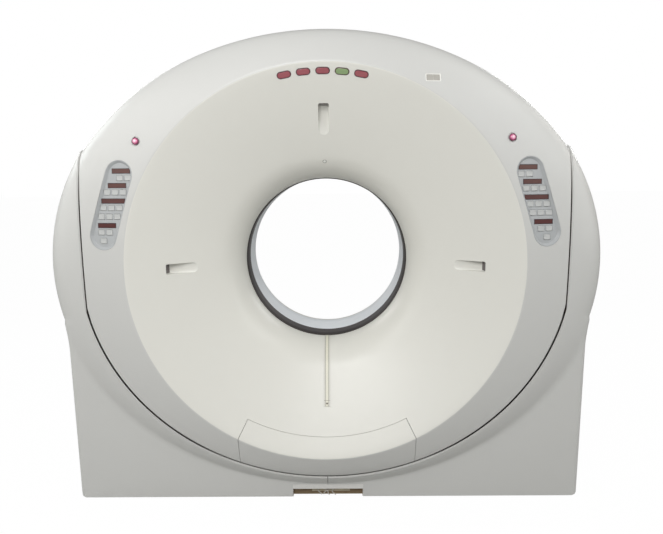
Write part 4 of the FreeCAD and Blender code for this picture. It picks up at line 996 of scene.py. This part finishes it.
# Painted shade: the two fine grooves, only a bump, are painted darker
groove = (off > GROOVE[0]) * (off < GROOVE[1])
body = cream.mix(cloud, (214, 212, 196), (224, 222, 206))
edge = cream.mix(off > GROOVE[1], body, (208, 206, 198))
line = cream.mix(groove, edge, (134, 128, 118))
strip_end = AXIS - STRIP_END
joint = (height < strip_end + END_JOINT[1]) * (height > strip_end + END_JOINT[0])
cream_paint = cream.done(Base_Color=cream.mix(joint, line, (150, 144, 132)),
                         Roughness=0.36 + cloud * 0.1, Normal=cream.bump(1.0 - groove, 0.0008, 0.6))
strip = solid_from_caps("centre_strip_moulding",
                        strip_rings(STRIP_HALF - HAIR, STRIP_THICK - HAIR, STRIP_PROUD,
                                    LIP_DEPTH, STRIP_END - HAIR))
shown(strip, "gantry", "centre_strip", "strip_cream", cream_paint)
screw_paint = glossy("strip_screw", (120, 112, 104), (84, 78, 74), 0.35, 200.0, 0.0)
screw = lathed("strip_screw", cone_seat(STRIP_END - 0.010, 270), SCREW_SECTION, 32)
shown(screw, "gantry", "centre_strip", "strip_cream", screw_paint)


# ================================================================ status window
# A small window in a light bevelled frame beside the lamps, with two grey panes set back in it.
PANE, PANE_PLACE, PANE_THICK = (0.0245, 0.0232, 0.001), 0.01275, 0.0012
BAR = (0.0008, 0.0228, 0.0002)
FRAME_LEVELS = ((0.0, 0.0038, -STATUS_SEAT + HAIR), (0.0, 0.0038, -0.0004), (0.0006, 0.0034, 0.0),
                (0.0036, 0.0015, -0.0020), (0.0038, 0.0013, -STATUS_SEAT + HAIR))
window_grey = glossy("status_pane", (184, 181, 173), (166, 163, 157), 0.16, 70.0, 0.4)
frame_white = glossy("status_frame", (243, 242, 237), (235, 234, 229), 0.3, 90.0, 0.2)
pane_layers = [(*PANE, -STATUS_SEAT + HAIR), (*PANE, -STATUS_SEAT + PANE_THICK)]
panes = [layered("pane", status_seat, pane_layers, (x, 0)) for x in (-PANE_PLACE, PANE_PLACE)]
shown(joined("status_panes", panes), "gantry", "display_windows", "display_red", window_grey)
width, height = STATUS_SIZE[0] - FIT, STATUS_SIZE[1] - FIT
rings = [[status_seat @ Vector((x, y, level))
          for x, y in outline(width - 2 * inset, height - 2 * inset, corner)]
         for inset, corner, level in FRAME_LEVELS]
bevel = solid_from_grid("status_frame", np.array(rings, float))
shown(bevel, "gantry", "display_windows", "display_red", frame_white)
bar = layered("status_bar", status_seat, [(*BAR, -STATUS_SEAT + 0.0002), (*BAR, -0.0022)])
shown(bar, "gantry", "display_windows", "display_red", trim_grey)


# ================================================================ emergency stops
# A domed translucent button in a dark magenta collar on each side, pushed in against a spring.
DOME_SECTION = ((0.0070, -0.0238), (0.0070, 0.0008), (0.0108, 0.0010), (0.0108, 0.0042),
                (0.0102, 0.0060), (0.0086, 0.0076), (0.0060, 0.0086), (0.0030, 0.0090),
                (0.0002, 0.0090))
COLLAR_SECTION = ((0.0110, 0.0006), (0.0137, 0.0006), (0.0139, 0.0012), (0.0139, 0.0036),
                  (0.0132, 0.0048), (0.0120, 0.0050), (0.0112, 0.0046), (0.0110, 0.0038))
stop_dome = Finish("stop_button_acrylic")
# Painted highlight: the dome is painted near white round its crown, fading to pink-magenta towards
# its edge
painted_highlight_centre = tuple(abs(c) for c in stop_seat @ Vector((0, 0, 0.009)))
reach = stop_dome.vector("DISTANCE", stop_dome.vector("ABSOLUTE", stop_dome.point), painted_highlight_centre, "Value")
cloud = stop_dome.noise(160.0)
outward = stop_dome.ramp(reach, 0.001, 0.0105) + cloud * 0.1
tint = stop_dome.mix(outward, (252, 218, 230), (204, 92, 140))
stop_paint = stop_dome.done(Base_Color=tint, Roughness=0.14 + cloud * 0.08, Coat_Weight=0.6,
                            Coat_Roughness=0.05)
collar_paint = glossy("stop_collar", (132, 54, 88), (104, 36, 68), 0.24, 150.0, 0.3)
dome = lathed("estop_right_dome", stop_seat, DOME_SECTION)
collar_ring = [[stop_seat @ Vector((r * math.cos(a), r * math.sin(a), z))
                for r, z in COLLAR_SECTION] for a in np.arange(64) / 64 * 2 * math.pi]
collar_ring = solid_from_grid("estop_right_collar", np.array(collar_ring, float))
for side, pieces in (("right", (dome, collar_ring)),
                     ("left", (mirrored(dome, "estop_left_dome"),
                               mirrored(collar_ring, "estop_left_collar")))):
    for piece, paint in zip(pieces, (stop_paint, collar_paint)):
        shown(piece, "estop_" + side, "estop_" + side, "stop_red", paint, 40)


# ================================================================ control panels
# Each panel is a shallow tray of blue-grey plastic let into the band, its rim following the cover.
# Four dark displays and fourteen loose key caps stand in level rows on its floor.
TRAY_SKIN, TRAY_HOLE_TOP = 0.002, 0.003
TRAY_RIM = ((0.0004, 0.0022), (0.0, 0.0006), (0.0006, 0.0), (0.0022, 0.0), (0.0030, 0.0008))
TRAY_SLOPE, SLOPE_SHORT, TRAY_FOOT = 0.0070, 0.0014, 0.0112
KEY_SIZE, KEY_PITCH, KEY_PROUD, KEY_LOW = (0.027, 0.0215, 0.003), 0.034, 0.0025, 0.0055
KEY_BEVELS = ((0.0235, 0.0180, 0.0026, 0.0003), (0.0228, 0.0173, 0.0024, 0.0),
              (0.0180, 0.0125, 0.0020, 0.0004))          # size, corner, how far below the top
KEY_ROOM, KEY_HOLE_CORNER, KEY_HOLE_DEEP = 0.002, 0.0036, 0.02
DISPLAY_SIZE, DISPLAY_BORDER = {"display": (0.078, 0.020), "wide": (0.102, 0.020)}, 0.005
PANEL_ROWS = ((0.134, "display", -0.043, 1), (0.107, "key", -0.037, 2),
              (0.078, "display", -0.024, 1), (0.052, "key", 0.019, 3), (0.018, "wide", -0.006, 1),
              (-0.009, "key", 0.037, 3), (-0.043, "key", 0.047, 3), (-0.078, "display", 0.025, 1),
              (-0.105, "key", 0.049, 2), (-0.139, "key", 0.041, 1))    # height, kind, x, count
level_seat = seat(tray_seat.translation, tray_seat.to_3x3() @ Vector((0, 0, 1)), (0, 0, 1))


def tray_ring(inset, depth, follow):
    """One outline of the tray; its upper ones follow the cover's surface."""
    flat = outline(2 * (TRAY_HALF - inset), TRAY_LONG - 2 * inset, FULL_ROUND, 28)
    lift = band_height(tray_seat, flat) * follow
    return [tray_seat @ Vector((x, y, h - depth)) for (x, y), h in zip(flat, lift)]


def mottled(name, one, two, scale, detail, grit_scale, roughness, height):
    """Moulded plastic, softly clouded, with a fine even grain."""
    finish = Finish(name)
    cloud, grit = finish.noise(scale, detail), finish.noise(grit_scale)
    return finish.done(Base_Color=finish.mix(cloud, one, two), Roughness=roughness + cloud * 0.1,
                       Normal=finish.bump(grit, height, 0.3))


tray_grey = mottled("tray_plastic", (166, 169, 170), (178, 180, 181),
                    14.0, 3.0, 520.0, 0.38, 0.0002)
key_grey = mottled("key_cap_plastic", (180, 182, 181), (194, 195, 193),
                   30.0, 2.0, 600.0, 0.34, 0.0001)
display = Finish("display_filter")
smear = display.noise(24.0)
lower = display.mix(smear, (94, 54, 52), (80, 49, 49))
upper = display.mix(smear, (114, 84, 78), (96, 76, 73))
# Painted light: the same filter is painted lighter on the displays higher up the panel
painted_light_upward = display.ramp(display.axis("Z"), 1.18, 1.42)
display_glass = display.done(Base_Color=display.mix(painted_light_upward, lower, upper),
                             Roughness=0.12 + smear * 0.06)
display_edge = glossy("display_surround", (72, 56, 58), (58, 44, 48), 0.3, 60.0, 0.2)

rim_in, rim_deep = TRAY_RIM[-1]
tray = [(rim_in, TRAY_DEPTH + TRAY_SKIN, 0)] + [(*rim, 1) for rim in TRAY_RIM]
tray += [(rim_in + TRAY_SLOPE * k, rim_deep + (TRAY_DEPTH - SLOPE_SHORT) * k, 1 - k)
         for k in np.linspace(0, 1, 6)[1:]] + [(TRAY_FOOT, TRAY_DEPTH, 0)]
tray = solid_from_caps("control_panel_right_tray", [tray_ring(*ring) for ring in tray])


def on_floor(name, centre, size, bottom, top, *layers):
    """A piece that stands in its row of the tray, its levels measured from the tray's floor."""
    levels = [(*flat, level - TRAY_DEPTH)
              for *flat, level in [(*size, bottom), (*size, top), *layers]]
    return layered(name, level_seat, levels, centre)


keys, glasses, surrounds, holes = [], [], [], []
for height_up, kind, outer, count in PANEL_ROWS:
    for k in range(count):
        centre = (outer - k * KEY_PITCH, height_up)
        if kind == "key":
            bevels = [(*flat, KEY_PROUD - down) for *flat, down in KEY_BEVELS]
            keys.append(on_floor("key", centre, KEY_SIZE, -KEY_LOW, 0.0004, *bevels))
            hole = (KEY_SIZE[0] + KEY_ROOM, KEY_SIZE[1] + KEY_ROOM, KEY_HOLE_CORNER)
            holes.append(on_floor("hole", centre, hole, -KEY_HOLE_DEEP, TRAY_HOLE_TOP))
        else:
            wide, tall = DISPLAY_SIZE[kind]
            surrounds.append(on_floor("surround", centre, (wide, tall, 0.001), -0.0009, 0.0004))
            glass = (wide - DISPLAY_BORDER, tall - DISPLAY_BORDER, 0.0006)
            glasses.append(on_floor("glass", centre, glass, 0.0005, 0.0008))
            hole = (wide + FIT, tall + FIT, 0.001)
            holes.append(on_floor("hole", centre, hole, -0.001, TRAY_HOLE_TOP))
holes = joined("tray_openings", holes)
cut(tray, holes)
removed(holes)
glasses, surrounds = joined("displays_right", glasses), joined("display_surrounds_right", surrounds)
for side in ("right", "left"):
    one = (lambda piece, name: piece) if side == "right" else mirrored
    for number, key in enumerate(keys, 1):
        node = "key_%s_%02d" % (side, number)
        cap = one(key, node + "_cap")
        cap.name = node + "_cap"
        shown(cap, node, node, "key_white", key_grey, 40)
    shown(one(tray, "control_panel_left_tray"), "gantry", "control_panel_" + side, "panel_grey",
          tray_grey, 25)
    for piece, name, paint in ((glasses, "displays_left", display_glass),
                               (surrounds, "display_surrounds_left", display_edge)):
        shown(one(piece, name), "gantry", "display_windows", "display_red", paint)


# ================================================================ cable outlet
# A light plastic frame in the front sill, open at the floor; behind it a brown pan with a clamp
# bar, where a few pale leads come down.
PORT_TOP, PORT_WIDE, PORT_DEEP, PORT_INNER_TOP = 0.0608, 0.1538, 0.0238, 0.040
LEADS = ((-0.020, 0.012, 0.010), (0.004, -0.016, 0.014), (0.018, 0.030, 0.011),
         (-0.040, -0.034, 0.013))            # x at the top, x at the floor, depth
LEAD_RADIUS, LEAD_SWAY, LEAD_TOP, LEAD_SHORT = 0.0022, 0.006, 0.004, 0.011
CLAMP = ((-0.070, 0.0165, 0.020), (0.096, 0.0195, 0.036))    # corners, depth from the base's front
light_frame = glossy("port_frame_plastic", (222, 221, 217), (210, 209, 205), 0.38, 60.0, 0.1)
dark_pan = glossy("port_pan", (150, 130, 100), (104, 86, 64), 0.6, 30.0, 0.0)
clamp_steel = glossy("clamp_bar", (196, 186, 162), (168, 156, 132), 0.5, 60.0, 0.0)
pale_lead = glossy("pale_lead", (206, 202, 194), (176, 170, 160), 0.45, 50.0, 0.1)


def port_block(name, inset, front, back, low, top):
    """A block across the outlet, its depth measured from the base's front."""
    return box_solid(name, (-PORT_WIDE + inset, front - BASE_HALF_DEPTH, low),
                     (PORT_WIDE - inset, back - BASE_HALF_DEPTH, top))


port_frame = port_block("cable_port_frame", 0, HAIR, PORT_DEEP, BASE_LOW, PORT_TOP)
clear = port_block("port_clear", 0.002, -0.01, PORT_DEEP - 0.002, -0.01, PORT_INNER_TOP)
pan = port_block("cable_port_pan", 0.0022, 0.003, PORT_DEEP - 0.0022, BASE_LOW,
                 PORT_INNER_TOP - 0.0002)
room = port_block("pan_room", 0.0030, -0.01, PORT_DEEP - 0.0034, -0.01, PORT_INNER_TOP - 0.0012)
cut(port_frame, clear)
cut(pan, room)
removed(clear, room)
leads = []
for number, (x_top, x_low, depth) in enumerate(LEADS):
    path = [(x_top + (x_low - x_top) * k + LEAD_SWAY * math.sin(k * 5 + number),
             depth - BASE_HALF_DEPTH, PORT_INNER_TOP - LEAD_TOP - (PORT_INNER_TOP - LEAD_SHORT) * k)
            for k in np.linspace(0, 1, 14)]
    leads.append(tube("lead", path, LEAD_RADIUS, 14))
clamp = box_solid("cable_port_clamp", *[(x, y - BASE_HALF_DEPTH, z) for x, y, z in CLAMP])
for piece, paint in ((clamp, clamp_steel), (port_frame, light_frame), (pan, dark_pan)):
    shown(piece, "stand", "cable_port", "port_frame", paint)
shown(joined("cable_port_leads", leads), "stand", "cable_port", "port_frame", pale_lead, 60)


# ================================================================ finishes of the other nodes
# The painted steel frame, castings, gears, bearings and the rotor's units that sit behind the
# covers keep their CAD form; each slot gets its own paint or metal.
def mechanical(name, light, dark, roughness, metallic=0.0):
    """Paint or metal with fine mottling, grain and uneven gloss."""
    finish = Finish(name)
    grain = finish.noise(60.0, 3.0)
    return finish.done(Base_Color=finish.mix(grain, dark, light), Metallic=metallic,
                       Roughness=roughness - 0.06 + grain * 0.12,
                       Normal=finish.bump(finish.noise(480.0), 0.0002, 0.4))


finishes = {
    "frame_paint": mechanical("frame_paint", (98, 104, 110), (84, 90, 96), 0.5),
    "casting": mechanical("cast_aluminium", (168, 170, 172), (148, 150, 152), 0.45, 0.7),
    "bright_steel": mechanical("bright_steel", (196, 198, 200), (170, 172, 174), 0.28, 1.0),
    "motor_paint": mechanical("motor_paint", (62, 70, 82), (52, 58, 70), 0.4),
    "tube_housing": mechanical("tube_housing_paint", (208, 208, 202), (192, 192, 188), 0.35),
    "copper_ring": mechanical("copper_ring", (200, 128, 88), (176, 104, 68), 0.3, 1.0),
}
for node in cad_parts.values():
    for place in node.material_slots:
        place.material = finishes.get(place.material.name, finishes["frame_paint"])


# ================================================================ studio
# A pale floor under square soft boxes from the front, above and behind, as in a product photograph,
# and the camera at the height of a standing person's eyes.
FLOOR_HALF, SHADE_INSET = 30, 0.03           # the floor is dark only under the stand
scene = bpy.context.scene
scene.view_settings.view_transform = "Standard"
floor_mesh = bpy.data.meshes.new("floor")
floor_mesh.from_pydata([(x * FLOOR_HALF, y * FLOOR_HALF, 0)
                        for x, y in ((-1, -1), (1, -1), (1, 1), (-1, 1))], [], [(0, 1, 2, 3)])
floor = bpy.data.objects.new("floor", floor_mesh)
scene.collection.objects.link(floor)
floor_look = Finish("pale_floor")
seen = floor_look.node("ShaderNodeLightPath", {}, {}, "Is Camera Ray")
mottle = floor_look.mix(floor_look.noise(2.0), (0.50, 0.50, 0.49, 1), (0.54, 0.54, 0.53, 1))
matt = floor_look.node("ShaderNodeBsdfDiffuse", {}, {"Color": mottle})
pale = floor_look.node("ShaderNodeBsdfDiffuse", {}, {"Color": (0.90, 0.90, 0.90, 1)})
white = floor_look.node("ShaderNodeEmission", {}, {"Color": (1, 1, 1, 1), "Strength": 1.0})
under_x = abs(floor_look.axis("X")) < BASE_HALF_WIDTH - SHADE_INSET
under_y = abs(floor_look.axis("Y")) < BASE_HALF_DEPTH - SHADE_INSET
apart = (1.0 - under_x * under_y) * 0.985
bright = floor_look.node("ShaderNodeMixShader", {}, {0: apart, 1: pale, 2: white})
floor.data.materials.append(
    floor_look.ended(floor_look.node("ShaderNodeMixShader", {}, {0: seen, 1: matt, 2: bright})))

ROOM_LIGHT, BACKDROP = 0.24, 1.0
world = bpy.data.worlds.new("soft_room")
world.use_nodes = True
nodes, links = world.node_tree.nodes, world.node_tree.links
room, backdrop = nodes["Background"], nodes.new("ShaderNodeBackground")
for look, strength in ((room, ROOM_LIGHT), (backdrop, BACKDROP)):
    look.inputs["Color"].default_value = (1, 1, 1, 1)
    look.inputs["Strength"].default_value = strength
rays, choose = nodes.new("ShaderNodeLightPath"), nodes.new("ShaderNodeMixShader")
links.new(rays.outputs["Is Camera Ray"], choose.inputs[0])
links.new(room.outputs[0], choose.inputs[1])
links.new(backdrop.outputs[0], choose.inputs[2])
links.new(choose.outputs[0], nodes["World Output"].inputs["Surface"])
scene.world = world

LAMPS = (    # name, place, target, size, power, tint
    ("key_light", (-0.5, -2.9, 2.6), (-0.1, -0.4, 1.0), 1.5, 54, (1.0, 1.0, 1.0)),
    ("left_light", (-2.4, -2.0, 2.6), (-0.5, -0.4, 1.2), 1.4, 18, (1.0, 0.99, 0.96)),
    ("right_light", (2.4, -2.0, 2.6), (0.5, -0.4, 1.2), 1.4, 14, (0.98, 1.0, 1.0)),
    ("left_side_light", (-3.0, -1.2, 1.6), (0, -0.2, 1.2), 1.4, 6.5, (1.0, 0.99, 0.96)),
    ("right_side_light", (3.0, -1.2, 1.6), (0, -0.2, 1.2), 1.4, 9, (1.0, 0.99, 0.97)),
    ("top_right_light", (2.0, -1.3, 3.4), (0.4, -0.3, 1.5), 1.2, 9, (1.0, 0.99, 0.97)),
    ("left_edge_light", (-3.0, 0.0, 2.6), (-0.6, -0.2, 1.4), 1.3, 25, (0.95, 0.985, 1.0)),
    ("right_edge_light", (3.0, 0.0, 2.6), (0.6, -0.2, 1.4), 1.3, 11, (1.0, 0.98, 0.93)),
    ("rear_left_light", (-2.6, 2.4, 2.6), (-0.2, 0.4, 1.1), 1.5, 27, (1.0, 1.0, 1.0)),
    ("rear_right_light", (2.6, 2.4, 2.6), (0.2, 0.4, 1.1), 1.5, 30, (1.0, 1.0, 1.0)))
for name, place, target, size, power, tint in LAMPS:
    lamp = bpy.data.lights.new(name, "AREA")
    lamp.shape, lamp.size, lamp.energy, lamp.color = "SQUARE", size, power, tint
    made = bpy.data.objects.new(name, lamp)
    made.location = place
    made.rotation_euler = (Vector(target) - Vector(place)).to_track_quat("-Z", "Y").to_euler()
    scene.collection.objects.link(made)

CAMERA_PLACE, CAMERA_PITCH, CAMERA_YAW, CAMERA_ROLL = (0.049, -2.743, 1.417), 9.62, 0.58, 0.59
SENSOR, FOCAL_PIXELS, IMAGE_WIDTH = 36, 583.6, 663
camera = bpy.data.cameras.new("camera")
camera.sensor_width, camera.lens = SENSOR, FOCAL_PIXELS / IMAGE_WIDTH * SENSOR
viewer = bpy.data.objects.new("camera", camera)
viewer.location = CAMERA_PLACE
look = (Matrix.Rotation(math.radians(CAMERA_YAW), 4, "Z")
        @ Matrix.Rotation(math.radians(90 - CAMERA_PITCH), 4, "X")
        @ Matrix.Rotation(math.radians(-CAMERA_ROLL), 4, "Z"))
viewer.rotation_euler = look.to_euler()
scene.collection.objects.link(viewer)
scene.camera = viewer
